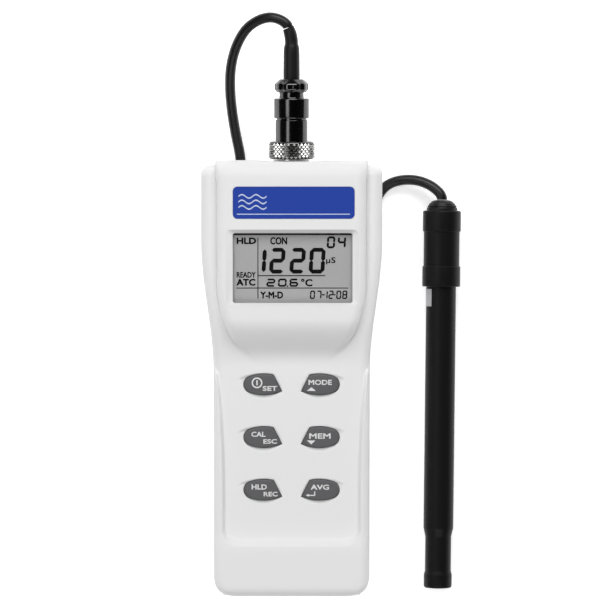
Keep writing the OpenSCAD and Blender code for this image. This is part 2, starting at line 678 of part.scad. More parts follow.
module clamp_nut() color("silver") in_meter() difference() {
    turned([[5.05, nut_y], [clamp_d / 2 - 0.9, nut_y], [clamp_d / 2, nut_y + 1.6],
        [clamp_d / 2, nut_y + 3.4], [clamp_d / 2 - 0.7, nut_end - 0.7], [clamp_d / 2 - 1.8, nut_end],
        [boot_r + 0.1, nut_end], [boot_r + 0.1, nut_end - 1.5], [5.05, nut_end - 1.5]]);
    // Finger lobes
    translate([0, nut_y - 1, split_h]) rotate([-90, 0, 0]) contact_ring(clamp_d / 2 + 1.1, 10)
        cylinder(h = 8, r = 1.5, $fn = 24);
}

module plug_boot() color("black") in_meter() {
    turned([[0, nut_end - 1.5], [boot_r, nut_end - 1.5], [boot_r, boot_y - 1],
        [boot_thin_r, boot_y], [0, boot_y]]);
    // The thin end bends with the cable
    translate([-boot_bend_r, boot_y, split_h]) rotate_extrude(angle = boot_bend, $fn = 96)
        translate([boot_bend_r, 0]) circle(boot_thin_r);
}

// Cable -------------------------------------------------------------------------

function unit(v) = v / norm(v);
function spline(p, i, t) = let (n = len(p) - 1, a = p[max(0, i - 1)], b = p[i], c = p[i + 1],
        d = p[min(n, i + 2)])
    0.5 * (2 * b + (c - a) * t + (2 * a - 5 * b + 4 * c - d) * t * t
        + (3 * b - a - 3 * c + d) * t * t * t);

// A round tube of diameter d through the points of a route
module tube(route, d, sides = 10) {
    path = concat([for (i = [0:len(route) - 2], t = [0, 0.5]) spline(route, i, t)],
        [route[len(route) - 1]]);
    last = len(path) - 1;
    skin([for (i = [0:last])
        let (t = unit(path[min(last, i + 1)] - path[max(0, i - 1)]),
            u = unit(cross(abs(t[2]) < 0.9 ? [0, 0, 1] : [1, 0, 0], t)), v = cross(t, u))
        [for (k = [0:sides - 1]) path[i]
            + d / 2 * (cos(k * 360 / sides) * u + sin(k * 360 / sides) * v)]]);
}

module coil_section(inset) translate([coil_in + inset, inset]) {
    w = coil_out - coil_in - 2 * inset;
    h = coil_h - 2 * inset;
    r = cable_d / 2 - inset;
    translate([r, 0]) square([w - 2 * r, h]);
    translate([0, r]) square([w, h - 2 * r]);
    for (x = [r, w - r], y = [r, h - r]) translate([x, y]) circle(r, $fn = 24);
}

module tie_zone(margin) rotate(60) translate([0, -tie_l / 2 - margin, -1])
    cube([coil_out + 5, tie_l + 2 * margin, coil_h + 5]);

module cable_from_plug() color("black") on_bench() tube(plug_route, cable_d);
module cable_to_probe() color("black") on_bench() tube(probe_route, cable_d);

module cable_coil() color("black") on_bench() translate([coil_x, coil_y, 0]) {
    difference() {
        rotate_extrude($fn = 96) coil_section(0);
        tie_zone(0);
    }
    intersection() {
        rotate_extrude($fn = 96) coil_section(tie_t);
        tie_zone(0.01);
    }
}

module cable_tie() color("black") on_bench() translate([coil_x, coil_y, 0]) intersection() {
    rotate_extrude($fn = 96) difference() {
        coil_section(0);
        coil_section(tie_t);
    }
    tie_zone(0);
}

// Probe ---------------------------------------------------------------------------

module revolved(profile) rotate_extrude() polygon(profile);

module strain_relief() color("black") in_probe() difference() {
    translate([0, 0, relief_t]) revolved([[0, 0], [6.3, 0], [6.1, 1.4], [5, 3], [3.6, relief_l], [0, relief_l]]);
    for (a = [0:30:330]) rotate(a) translate([6.4, -0.4, relief_t + 0.5]) cube([1, 0.8, 4]);
}

module probe_cap() color("black") in_probe() difference() {
    translate([0, 0, cap_t]) revolved([[0, 0], [collar_d / 2 - 0.6, 0], [collar_d / 2, 0.6],
        [collar_d / 2, 7.4], [collar_d / 2 - 1.2, 8.6], [0, 8.6]]);
    for (s = [-1, 1]) translate([s * (collar_d / 2 + 4.6) - 5, -20, cap_t + 2]) cube([10, 40, 4]);
}

module probe_handle() color("black") in_probe() translate([0, 0, handle_t])
    cylinder(h = cap_t - handle_t, r = handle_d / 2);

module probe_ferrule() color("black") in_probe() difference() {
    translate([0, 0, ferrule_t]) revolved([[0, 0], [collar_d / 2 - 0.9, 0], [collar_d / 2, 0.9],
        [collar_d / 2, 7.8], [collar_d / 2 - 0.6, 8.4], [0, 8.4]]);
    for (s = [-1, 1]) translate([s * (collar_d / 2 + 4.6) - 5, -20, ferrule_t + 2]) cube([10, 40, 4]);
}

module probe_tube() color("black") in_probe() translate([0, 0, tip_l]) difference() {
    cylinder(h = tube_l, r = tube_d / 2);
    translate([0, 0, -1]) cylinder(h = tube_l - 4, r = tube_d / 2 - 1.5);
}

module probe_label() color("lightgray") in_probe() intersection() {
    translate([0, 0, tip_l + tube_l - 8]) difference() {
        cylinder(h = 7, r = tube_d / 2 + 0.1);
        translate([0, 0, -1]) cylinder(h = 9, r = tube_d / 2);
    }
    rotate(180) translate([0, -4.6, 0]) cube([20, 9.2, 400]);
}

module probe_tip() color("black") in_probe() difference() {
    revolved([[0, 0.9], [bead_d / 2 - 0.9, 0], [bead_d / 2, 0.9], [bead_d / 2, bead_l - 1.6],
        [tip_d / 2, bead_l], [tip_d / 2, tip_l - 3.5], [tube_d / 2, tip_l], [tube_d / 2 - 1.6, tip_l],
        [tube_d / 2 - 1.6, tip_l + 6], [0, tip_l + 6]]);
    translate([0, 0, -1]) cylinder(h = tip_l - 3, r = cell_d / 2);
}

module cell_core() color("ivory") in_probe() translate([0, 0, tip_l - 7.5])
    cylinder(h = 3.5, r = cell_d / 2);

module electrodes() color("gray") in_probe() for (t = [5, 10]) translate([0, 0, t]) difference() {
    cylinder(h = 3, r = cell_d / 2);
    translate([0, 0, -1]) cylinder(h = 5, r = cell_d / 2 - 0.25);
}

module thermistor() color("silver") in_probe() translate([0, 0, tip_l - 12]) {
    cylinder(h = 4.5, r = 0.9);
    sphere(0.9);
}

front_case();
rear_case();
label_plate();
lcd_window();
lcd_glass();
lcd_frame();
zebra_strips();
main_board();
board_parts();
board_screws();
buzzer();
keypad_mat();
key_domes();
power_key();
mode_key();
calibrate_key();
memory_key();
hold_key();
enter_key();
case_screws();
battery_cover();
batteries();
battery_contacts();
tilt_stand();
stand_pin();
output_jack();
probe_socket();
socket_nut();
socket_insert();
socket_contacts();
coupling_ring();
plug_shell();
plug_insert();
plug_pins();
plug_back_shell();
clamp_nut();
plug_boot();
cable_from_plug();
cable_coil();
cable_tie();
cable_to_probe();
strain_relief();
probe_cap();
probe_handle();
probe_ferrule();
probe_tube();
probe_label();
probe_tip();
cell_core();
electrodes();
thermistor();
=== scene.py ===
# %% [markdown]
# # A handheld water meter with its probe
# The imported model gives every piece's place, so nothing here is fitted by eye. All sizes are
# in millimetres until a mesh is placed, because that is how a case or a connector is drawn.

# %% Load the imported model
import json
import math
import bmesh
import bpy
import numpy as np
from mathutils import Matrix, Vector


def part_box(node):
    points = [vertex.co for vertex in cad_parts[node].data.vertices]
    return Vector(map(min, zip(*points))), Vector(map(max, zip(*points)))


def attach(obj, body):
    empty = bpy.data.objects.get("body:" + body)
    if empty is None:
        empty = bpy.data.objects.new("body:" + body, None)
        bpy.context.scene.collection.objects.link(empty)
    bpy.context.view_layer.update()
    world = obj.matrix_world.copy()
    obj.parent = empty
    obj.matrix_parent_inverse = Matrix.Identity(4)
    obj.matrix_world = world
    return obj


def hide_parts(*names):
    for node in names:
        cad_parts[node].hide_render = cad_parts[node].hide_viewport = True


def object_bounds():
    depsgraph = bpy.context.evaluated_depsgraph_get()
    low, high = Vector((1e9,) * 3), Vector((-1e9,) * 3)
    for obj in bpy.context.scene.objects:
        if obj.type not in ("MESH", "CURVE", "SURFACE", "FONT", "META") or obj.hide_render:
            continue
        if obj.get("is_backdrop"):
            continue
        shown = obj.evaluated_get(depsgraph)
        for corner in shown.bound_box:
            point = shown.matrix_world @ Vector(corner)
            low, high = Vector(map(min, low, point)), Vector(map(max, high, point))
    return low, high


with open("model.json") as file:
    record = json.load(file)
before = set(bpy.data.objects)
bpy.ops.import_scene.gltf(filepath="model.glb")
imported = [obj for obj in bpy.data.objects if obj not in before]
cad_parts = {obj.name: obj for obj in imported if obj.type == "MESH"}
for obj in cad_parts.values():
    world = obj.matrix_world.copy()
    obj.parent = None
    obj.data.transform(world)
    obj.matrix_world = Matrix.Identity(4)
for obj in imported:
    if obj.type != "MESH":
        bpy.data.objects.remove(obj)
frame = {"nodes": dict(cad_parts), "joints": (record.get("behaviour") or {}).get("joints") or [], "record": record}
cad_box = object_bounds()
MM = 0.001
joints = {joint["name"]: joint for joint in frame["joints"]}
mounts = {mount["name"]: mount for mount in frame["record"]["mounts"]}

# %% [markdown]
# The meter is drawn flat, with its back at z = 0 and its grip end at y = 0, and then laid on
# the coiled cable. The coupling ring's joint says how far it is tilted. The probe has its own
# axis, from its tip, and the bench is where the cable lies.

# %% Three drawing frames
CASE_L, FLANK_L, SPLIT_H = 175.6, 173.2, 17.0
HEAD_H, RAIL_H, FOOT_H, KEYPAD_H = 36.0, 29.6, 30.2, 27.5
TIP_L, TUBE_L = 24.5, 98.5
CABLE_D, COIL_Y, COIL_R = 4.2, CASE_L - 36.2, 23.3

plug_axis = Vector(joints["coupling_ring_turn"]["axis"])
tilt = math.atan2(plug_axis.z, plug_axis.y)
METER = (Matrix.Translation(joints["coupling_ring_turn"]["pos_m"])
         @ Matrix.Rotation(tilt, 4, "X")
         @ Matrix.Translation((0, -(CASE_L + 4) * MM, -SPLIT_H * MM)))
# The connector's pieces are turned around z in their own frame, so z becomes the plug's axis
PLUG = METER @ Matrix.Translation((0, 0, SPLIT_H * MM)) @ Matrix.Rotation(-math.pi / 2, 4, "X")

shaft = mounts["probe_shaft"]
probe_up = -Vector(shaft["axis"])
PROBE = (Matrix.Translation(shaft["pos_m"])
         @ Matrix.Rotation(-math.atan2(probe_up.x, probe_up.y), 4, "Z")
         @ Matrix.Rotation(math.asin(probe_up.z) - math.pi / 2, 4, "X")
         @ Matrix.Translation((0, 0, -(TIP_L + TUBE_L / 2) * MM)))

coil_low, coil_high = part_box("cable_coil")
coil_middle = (coil_low + coil_high) / 2
BENCH = Matrix.Translation((coil_middle.x, coil_middle.y - COIL_Y * MM, 0))
print("tilt", round(math.degrees(tilt), 2), "degrees")

# %% [markdown]
# ## The camera
# A long lens from far above keeps the case's sides parallel, as in a catalogue picture.

# %% Camera
VIEW_W = 242.8
VIEW_DISTANCE = 1600.0
FACE_Z = 40.0
VIEW_MIDDLE = (4.8, 116.1)
camera = bpy.data.objects.new("camera", bpy.data.cameras.new("camera"))
bpy.context.scene.collection.objects.link(camera)
camera.data.sensor_width = 36
camera.data.lens = camera.data.sensor_width * VIEW_DISTANCE / VIEW_W
camera.data.clip_end = 10
camera.location = BENCH @ (Vector((*VIEW_MIDDLE, FACE_Z + VIEW_DISTANCE)) * MM)
bpy.context.scene.camera = camera
print("lens", round(camera.data.lens, 1), "mm")

# %% [markdown]
# ## The cable
# The cable is one limp round lead. It leaves the plug's boot, falls to the bench behind the
# head, and its spare length is wound into a neat coil there, three turns wide and two high.
# It then climbs to the probe. Listed points give the free stretches, and a loop gives
# the turns, which step from one place in the bundle to the next just before the cable joins.

# %% The free stretches
PLUG_ROUTE = [(-1.45, 226.92, 34.6), (-2.05, 228.2, 34.7), (-4.8, 230.1, 34.5),
              (-9, 231.0, 33.4), (-13.9, 229.7, 31.4), (-18.6, 226.2, 28.4),
              (-22.4, 219.8, 24.2), (-24.6, 211.8, 19.2), (-25, 202.8, 14),
              (-24.2, 193.6, 9.4), (-22.8, 185, 5.8), (-21.2, 177, 3.5), (-20.8, 169.8, 2.4),
              (-22.2, 164, 2.1), (-24.3, 159.4, 2.1), (-25.8, 155.4, 2.1), (-26.5, 151, 2.1)]
PROBE_ROUTE = [(26.6, 130, 6.3), (29, 134.4, 5.9), (31.1, 139, 4.5), (32.6, 144, 3),
               (33.4, 149.4, 2.2), (34, 154.8, 2.1), (35.4, 160, 2.2), (38.2, 163.8, 2.6),
               (42.4, 166, 3.4), (47.6, 166.7, 4.5), (52.6, 166, 5.8), (57, 164, 7.2),
               (60.1, 161.4, 8.1), (61.2, 159.4, 8.4), (61.3, 158.4, 8.4)]


def smooth(a, b, t):
    u = np.clip((t - a) / (b - a), 0, 1)
    return u * u * (3 - 2 * u)


print("hand-picked points", len(PLUG_ROUTE) + len(PROBE_ROUTE))

# %% [markdown]
# The spare length lies in a bundle. The loop's radius and height are smooth steps from one place
# in the bundle to the next. Where the tie passes under the turns, its thickness lifts them.

# %% The coil
COIL_TURNS = 5
COIL_IN, COIL_OUT = 165.0, 330.0
TIE_ANGLE, TIE_T = 60.0, 0.6
# Places in the bundle, as (radius, height): bottom outer to inner, then top inner to outer
BUNDLE = [(COIL_R + CABLE_D * step, CABLE_D / 2 + CABLE_D * level)
          for level, steps in ((0, (1, 0, -1)), (1, (-1, 0, 1))) for step in steps]


def coil_point(angle):
    turn = (angle - COIL_IN) / 360
    radius, height = BUNDLE[0]
    for k in range(COIL_TURNS):
        change = COIL_IN + 360 * (k + 1) - 12 * k
        share = float(smooth(change - 20, change, angle))
        radius += share * (BUNDLE[k + 1][0] - BUNDLE[k][0])
        height += share * (BUNDLE[k + 1][1] - BUNDLE[k][1])
    off_tie = abs((angle - TIE_ANGLE + 180) % 360 - 180)
    height += TIE_T * (1 - float(smooth(8, 40, off_tie)))
    a = math.radians(angle)
    return (radius * math.cos(a), COIL_Y + radius * math.sin(a), height)


COIL_STEP = 7.5
coil_points = [coil_point(a)
               for a in np.arange(COIL_IN, COIL_OUT + 360 * COIL_TURNS + 1, COIL_STEP)]
print("coil points", len(coil_points))

# %% [markdown]
# A Catmull-Rom curve passes through every point it is given, so it joins the free stretches and
# the turns into one smooth line. Its length is the cord's length.

# %% The cable's line
def catmull(points, steps):
    points = [np.array(p, float) for p in points]
    ends = [2 * points[0] - points[1]] + points + [2 * points[-1] - points[-2]]
    line = []
    for a, b, c, d in zip(ends, ends[1:], ends[2:], ends[3:]):
        for t in np.arange(0, 1, 1 / steps):
            line.append(0.5 * (2 * b + (c - a) * t + (2 * a - 5 * b + 4 * c - d) * t * t
                               + (3 * b - a - 3 * c + d) * t ** 3))
    return line + [points[-1]]


cable_line = catmull(PLUG_ROUTE + coil_points + PROBE_ROUTE, 3)

# %% [markdown]
# The cable's jacket is a ring of points carried along the line. Each ring starts from the last
# one's direction, made square to the line again, so the tube never twists.

# %% The cable's tube
def tube_mesh(name, points, radius, to, sides=20):
    """A closed round tube through points, its section carried along without twisting."""
    points = [np.array(p, float) for p in points]
    along = [b - a for a, b in zip([points[0]] + points[:-1], points[1:] + [points[-1]])]
    across = np.cross(along[0], (0, 0, 1.0))
    verts = []
    for point, direction in zip(points, along):
        direction = direction / np.linalg.norm(direction)
        across = across - direction * (across @ direction)
        across /= np.linalg.norm(across)
        up = np.cross(across, direction)
        for a in np.linspace(0, 2 * math.pi, sides, endpoint=False):
            verts.append(to @ (Vector(point + radius * (math.cos(a) * across
                                                        + math.sin(a) * up)) * MM))
    last = (len(points) - 1) * sides
    faces = [(r * sides + c, r * sides + (c + 1) % sides, (r + 1) * sides + (c + 1) % sides,
              (r + 1) * sides + c) for r in range(len(points) - 1) for c in range(sides)]
    data = bpy.data.meshes.new(name)
    data.from_pydata(verts, [], faces + [range(sides), range(last, last + sides)])
    work = bmesh.new()
    work.from_mesh(data)
    bmesh.ops.recalc_face_normals(work, faces=work.faces)
    work.to_mesh(data)
    work.free()
    data.shade_smooth()
    data.set_sharp_from_angle(angle=math.radians(50))
    made = bpy.data.objects.new(name, data)
    bpy.context.scene.collection.objects.link(made)
    return made


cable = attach(tube_mesh("cable", cable_line, CABLE_D / 2, BENCH), "meter")
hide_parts("cable_from_plug", "cable_coil", "cable_to_probe")
print("cable tube", len(cable.data.polygons), "faces")

# %% [markdown]
# ## Finishes
# Each finish is a Principled surface. The moulded plastics get a very fine grain from noise on
# object coordinates, so that their highlights aren't perfectly smooth.

# %% Make a finish
GRAIN_SIZE = 0.4


def make_material(name, colour, rough, metal=0.0, grain=0.0, alpha=1.0, specular=0.5):
    """grain is the height of the bump, in millimetres like its size."""
    material = bpy.data.materials.new(name)
    material.use_nodes = True
    tree = material.node_tree
    shader = tree.nodes["Principled BSDF"]
    shader.inputs["Base Color"].default_value = (*colour, 1)
    shader.inputs["Roughness"].default_value = rough
    shader.inputs["Metallic"].default_value = metal
    shader.inputs["Specular IOR Level"].default_value = specular
    shader.inputs["Alpha"].default_value = alpha
    if grain:
        place = tree.nodes.new("ShaderNodeTexCoord")
        noise = tree.nodes.new("ShaderNodeTexNoise")
        noise.inputs["Scale"].default_value = 1 / (GRAIN_SIZE * MM)
        noise.inputs["Detail"].default_value = 2
        bump = tree.nodes.new("ShaderNodeBump")
        bump.inputs["Distance"].default_value = grain * MM
        tree.links.new(place.outputs["Object"], noise.inputs["Vector"])
        tree.links.new(noise.outputs["Fac"], bump.inputs["Height"])
        tree.links.new(bump.outputs["Normal"], shader.inputs["Normal"])
    return material

# %% [markdown]
# The case is a cool white ABS with a fine grain. Rubber keys and the probe are matt, with little
# gloss, and the connector has a knurl of plain nickel on a body of the same nickel darkened, as
# painted shade for the dark reflections of its plating. The pieces inside have plain finishes,
# because they show only when the case is opened.

# %% Materials
materials = {
    "case_plastic": make_material("case_plastic", (0.74, 0.742, 0.745), 0.42, grain=0.004),
    "blue_label": make_material("blue_label", (0.010, 0.046, 0.345), 0.4),
    "pale_line": make_material("pale_line", (0.55, 0.62, 0.78), 0.4),
    "clear_window": make_material("clear_window", (0, 0, 0), 0.05, alpha=0.03, specular=0.3),
    "lcd_glass": make_material("lcd_glass", (0.44, 0.435, 0.44), 0.4, specular=0.3),
    # The display's ink; it also colours a bar of painted shadow along the top of the glass.
    "lcd_ink_and_shadow": make_material("lcd_ink_and_shadow", (0.004, 0.004, 0.004), 0.6, specular=0.1),
    "white_plastic": make_material("white_plastic", (0.7, 0.7, 0.7), 0.5),
    "circuit_board": make_material("circuit_board", (0.01, 0.12, 0.04), 0.4),
    "black_plastic": make_material("black_plastic", (0.008, 0.008, 0.009), 0.4, specular=0.3),
    "key_rubber": make_material("key_rubber", (0.11, 0.11, 0.114), 0.5, grain=0.003,
                                specular=0.25),
    "legend": make_material("legend", (0.75, 0.75, 0.75), 0.5),
    "steel": make_material("steel", (0.6, 0.6, 0.6), 0.25, metal=1),
    "battery_wrap": make_material("battery_wrap", (0.03, 0.04, 0.08), 0.3),
    "nickel": make_material("nickel", (0.62, 0.62, 0.61), 0.18, metal=1),
    # Nickel darkened as painted shade: it stands in for the dark reflections of the plug's plating.
    "nickel_painted_dark_reflection": make_material("nickel_painted_dark_reflection", (0.095, 0.095, 0.095), 0.17, metal=1),
    "gold_contact": make_material("gold_contact", (0.9, 0.62, 0.25), 0.2, metal=1),
    "black_rubber": make_material("black_rubber", (0.007, 0.007, 0.0075), 0.42, grain=0.006,
                                  specular=0.3),
    "cable_jacket": make_material("cable_jacket", (0.007, 0.007, 0.0075), 0.3, specular=0.35),
    "probe_plastic": make_material("probe_plastic", (0.005, 0.005, 0.0052), 0.42, grain=0.004,
                                   specular=0.17),
    "label_film": make_material("label_film", (0.4, 0.4, 0.41), 0.4),
    "graphite": make_material("graphite", (0.03, 0.03, 0.03), 0.6),
}
print("materials", len(materials))

# %% [markdown]
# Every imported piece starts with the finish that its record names. Those that are drawn again
# below are replaced later, and the rest keep their own meshes.

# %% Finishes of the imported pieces
for entry in frame["record"]["subparts"]:
    node = frame["nodes"][entry["node"]]
    node.data.materials.clear()
    node.data.materials.append(materials[entry["material_slot"]])
cable.data.materials.append(materials["cable_jacket"])

# %% [markdown]
# ## Helpers for the pieces
# A piece's points are worked out in millimetres in its own drawing frame. Booleans are applied
# at once, and edges sharper than a given angle stay sharp when the rest is shaded smooth.

# %% New meshes
def new_mesh(name, points, faces, to=Matrix.Identity(4)):
    place = np.array(to)
    placed = np.array(points, float) * MM @ place[:3, :3].T + place[:3, 3]
    data = bpy.data.meshes.new(name)
    data.from_pydata(placed.tolist(), [], [list(face) for face in faces])
    work = bmesh.new()
    work.from_mesh(data)
    bmesh.ops.remove_doubles(work, verts=work.verts, dist=1e-6)
    bmesh.ops.dissolve_degenerate(work, edges=work.edges, dist=1e-7)
    bmesh.ops.recalc_face_normals(work, faces=work.faces)
    work.to_mesh(data)
    work.free()
    made = bpy.data.objects.new(name, data)
    bpy.context.scene.collection.objects.link(made)
    return made


def grid_faces(rows, columns, closed=False):
    wrap = columns if closed else columns - 1
    return [(r * columns + c, r * columns + (c + 1) % columns,
             (r + 1) * columns + (c + 1) % columns, (r + 1) * columns + c)
            for r in range(rows - 1) for c in range(wrap)]

# %% [markdown]
# The manifold solver is quick and keeps a closed solid closed.

# %% Cuts and finishing
def boolean(target, tools, kind="DIFFERENCE"):
    for tool in tools:
        step = target.modifiers.new("cut", "BOOLEAN")
        step.object, step.operation, step.solver = tool, kind, "MANIFOLD"
        bake(target)
        bpy.data.objects.remove(tool)


def bake(target):
    baked = bpy.data.meshes.new_from_object(
        target.evaluated_get(bpy.context.evaluated_depsgraph_get()))
    target.modifiers.clear()
    old, target.data = target.data, baked
    bpy.data.meshes.remove(old)


def finish_piece(made, slot, body, angle=32, nodes=()):
    if not made.data.materials:
        made.data.materials.append(materials[slot])
    made.data.shade_smooth()
    made.data.set_sharp_from_angle(angle=math.radians(angle))
    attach(made, body)
    if nodes:
        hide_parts(*nodes)
    return made

# %% [markdown]
# Most pieces start as one of two solids. A prism lifts an outline, as a moulding core does, and a
# turned solid sweeps a section round an axis, as a lathe does.

# %% Prisms and turned solids
def prism(name, outline, low, high, top=None):
    """A prism of an outline of (x, y) points. top is a second outline for its upper end."""
    n = len(outline)
    points = ([(x, y, low) for x, y in outline]
              + [(x, y, high) for x, y in (outline if top is None else top)])
    sides = [(k, (k + 1) % n, n + (k + 1) % n, n + k) for k in range(n)]
    return new_mesh(name, points, sides + [range(n)[::-1], range(n, 2 * n)], METER)


def round_box(width, length, radius, x=0, y=0, steps=6):
    return [(x + sx * (width / 2 - radius) + radius * math.cos(a),
             y + sy * (length / 2 - radius) + radius * math.sin(a))
            for sx, sy, start in ((1, 1, 0), (-1, 1, 90), (-1, -1, 180), (1, -1, 270))
            for a in np.radians(np.linspace(start, start + 90, steps))]


def turned(name, profile, to, sides=96, lobe=None):
    """A closed ring or solid of revolution around z from (radius, height) points."""
    points = []
    for radius, height in profile:
        for a in np.linspace(0, 2 * math.pi, sides, endpoint=False):
            r = radius if lobe is None else lobe(radius, a)
            points.append((r * math.cos(a), r * math.sin(a), height))
    rows = len(profile)
    faces = grid_faces(rows, sides, closed=True)
    if profile[0] == profile[-1]:
        return new_mesh(name, points, faces, to)
    ends = [range(sides)[::-1], range((rows - 1) * sides, rows * sides)]
    return new_mesh(name, points, faces + ends, to)

# %% [markdown]
# ## The front shell
# The whole face of the case is one height field: rails at the sides, a sunk key panel between
# them, a display block that swells out of the panel, and a leaf-shaped dish behind each key.
# Columns of the grid follow the rail and the side of the display block, so that those two long
# creases are crisp, and rows are closest together where the dishes are.

# %% Sizes of the case
GRIP_W, HEAD_W = 63.2, 73.0
EDGE_R, GRIP_R, HEAD_R, WALL = 4.0, 7.0, 3.2, 2.4
WAIST_Y, CHEEK_Y, FOOT_Y = 90.6, 142.6, 21.0
BULGE_Y0, BULGE_Y1, BULGE_HALF = 88.0, 128.0, 30.0
SLOPE_Y0, SLOPE_Y1 = 93.0, 113.0
KEYS = {"power_key": (-1, 2), "mode_key": (1, 2), "calibrate_key": (-1, 1),
        "memory_key": (1, 1), "hold_key": (-1, 0), "enter_key": (1, 0)}
KEY_X, ROW_Y, ROW_PITCH = 11.1, 43.4, 21.3
KEY_L, KEY_W, KEY_R = 15.35, 8.5, 17.0
WINDOW = (0.45, CASE_L - 42.3, 47.9, 28.0)
LABEL = (0.9, CASE_L - 16.1, 48.4, 12.7)
SEAM = 0.4          # how far a face stops short of the plan's edge
PANEL_HALF, PANEL_R, FLARE, FLARE_Y = 27.9, 6.5, 3.0, 45.0
DISH_DEPTH = 0.7
print("keys", len(KEYS), "pitch", ROW_PITCH, "mm")

# %% [markdown]
# The plan is the outline seen from above: straight at the grip, wider at the head, with round
# corners. The display block has its own plan, a quarter ellipse at its lower end, and its top
# rises in one soft slope from the keys to the display.

# %% Plan and display block
def corner(distance, radius):
    d = np.clip(distance, 0, radius)
    return radius - np.sqrt(radius * radius - (radius - d) ** 2)


def half_w(y):
    return GRIP_W / 2 + (HEAD_W - GRIP_W) / 2 * smooth(WAIST_Y, CHEEK_Y, y)


def plan_w(y):
    return half_w(y) - corner(y, GRIP_R) - corner(FLANK_L - y, HEAD_R)


def bulge_w(y):
    u = np.clip((y - BULGE_Y0) / (BULGE_Y1 - BULGE_Y0), 0, 1)
    return BULGE_HALF * np.sqrt(1 - (1 - u) ** 2) + 0.6 * smooth(FLANK_L - 8, FLANK_L, y)


def bulge_top(y):
    return (KEYPAD_H - 1 + (HEAD_H - KEYPAD_H + 1) * smooth(SLOPE_Y0, SLOPE_Y1, y)
            - corner(CASE_L - y, 6))


def crease(y):
    """The line that the grid's columns follow: the rail's inner edge, then the block's side."""
    rail_line = PANEL_HALF - 0.3
    return rail_line + smooth(106, 118, y) * (bulge_w(y) - rail_line)


print("head", 2 * half_w(CASE_L - 33), "mm wide, block", 2 * round(float(bulge_w(120)), 1))

# %% [markdown]
# Two surfaces meet softly when the higher one is taken with a rounded maximum. The key panel's
# wall runs along the rails and round the foot, and each dish is a leaf between two arcs.

# %% Key panel and dishes
def soft_min(a, b, r):
    h = np.clip(0.5 + (b - a) / (2 * r), 0, 1)
    return b + (a - b) * h - r * h * (1 - h)


def soft_max(a, b, r):
    return -soft_min(-a, -b, r)


def panel_edge(x, y):
    """How much of the rail's height the key panel's wall has at a place, from 0 to 1."""
    side = (PANEL_HALF + FLARE * (np.maximum(0, y - FLARE_Y) / 48) ** 2
            + 8 * smooth(WAIST_Y - 1, WAIST_Y + 12, y))
    ax, ay = abs(x) - side + PANEL_R, FOOT_Y - y + PANEL_R
    both = np.hypot(np.maximum(ax, 0), np.maximum(ay, 0))
    distance = both - PANEL_R + np.minimum(np.maximum(ax, ay), 0)
    steep = (np.maximum(ay, 0) / np.maximum(both, 1e-6)) ** 2
    return smooth(-(1.5 + 1.1 * steep), 0.3, distance)


def dish(x, y):
    """A leaf-shaped hollow behind each key, with its point on the outer side."""
    depth = 0 * x
    for side, row in KEYS.values():
        kx, ky = side * x - KEY_X, y - (ROW_Y + row * ROW_PITCH)
        upper = 24.7 - np.hypot(kx, ky + 20.0)
        lower = 11.6 - np.hypot(kx, ky - 5.5)
        slant = 0.877 * (kx + 3.7) - 0.481 * (ky - 3.84)
        depth = depth + (DISH_DEPTH * smooth(0, 0.9, upper) * smooth(0, 3.2, lower)
                         * smooth(-0.9, 0.3, slant))
    return depth


print("dish", round(float(dish(KEY_X + 9.5, ROW_Y + 1.0)), 2), "mm deep beside a key")

# %% [markdown]
# The height of the face at any place is the panel's floor or the rail, less the dishes and the
# rounded edges. The display block is a second height, which the grid joins to the first.

# %% Heights of the face
def face_height(x, y):
    rail = RAIL_H + (FOOT_H - RAIL_H) * (1 - smooth(18, 26, y))
    floor = KEYPAD_H + (RAIL_H - KEYPAD_H) * smooth(WAIST_Y + 3, SLOPE_Y1, y)
    ground = floor + (rail - floor) * panel_edge(x, y) - dish(x, y)
    edge = np.clip(plan_w(y) - SEAM - abs(x), 0, EDGE_R)
    ends = corner(y, EDGE_R) + corner(FLANK_L - y, HEAD_R)
    return np.minimum(ground, rail) - corner(edge, EDGE_R) - ends


def bulge_height(x, y):
    inside = bulge_w(y) - SEAM - abs(x)
    return (bulge_top(y) - corner(np.clip(inside, 0, 4), 4)
            - 8 * np.clip(-inside, 0, 0.8) - 2 * np.clip(-inside - 0.8, 0, 40))


print("rail", face_height(29.0, 60.0), "panel", face_height(0.0, 60.0))

# %% [markdown]
# The grid is rows of half-sections. A row runs from the middle of the face to the crease, and
# from there to the parting line. Its points crowd together where the surface turns fast.

# %% Sections of the front
def row_stops():
    stops = [np.array([0, 0.15, 0.55, 1.2, 2.1, 3, 4, 5, 6, 7, 10, 14]), np.arange(17, 29, 0.45),
             np.arange(29, 36, 1.4), np.arange(36, 93, 0.45), np.arange(93, 122, 0.8),
             np.arange(122, 166, 2.5), np.linspace(166, 169.6, 5),
             FLANK_L - HEAD_R + HEAD_R * np.sin(np.radians(np.linspace(0, 90, 8)))]
    return np.unique(np.round(np.concatenate(stops), 3))


def section(y, past_flank=False):
    """Half of a cross-section of the front, from the middle outwards and down."""
    line = float(crease(y))
    share = float(smooth(108, 120, y))
    inner = np.linspace(0, line - EDGE_R - SEAM, 58)
    arc = line - EDGE_R - SEAM + EDGE_R * np.sin(np.radians(np.linspace(8, 90, 11)))
    xs = np.concatenate([inner, arc, [line]])
    z = soft_max(face_height(xs, y), bulge_height(xs, y), 1.2 - 0.8 * share)
    z[-1] = z[-1] * (1 - share) + share * (face_height(line, y) - 0.25)
    wide = float(plan_w(y))
    outer = line + (wide - SEAM - line) * np.sin(np.radians(np.linspace(5, 90, 18)))
    outer_z = soft_max(face_height(outer, y), bulge_height(outer, y), 1.2 - 0.8 * share)
    outer_z = outer_z * (1 - share) + share * face_height(outer, y)
    if past_flank:
        outer_z = z[-1] + (SPLIT_H - z[-1]) * np.linspace(0.04, 0.96, 18)
        outer, wide = np.full(18, line), line
    return (np.concatenate([xs, outer, [wide]]), np.concatenate([z, outer_z, [SPLIT_H]]))


print("rows", len(row_stops()), "of", len(section(60.0)[0]), "points a side")

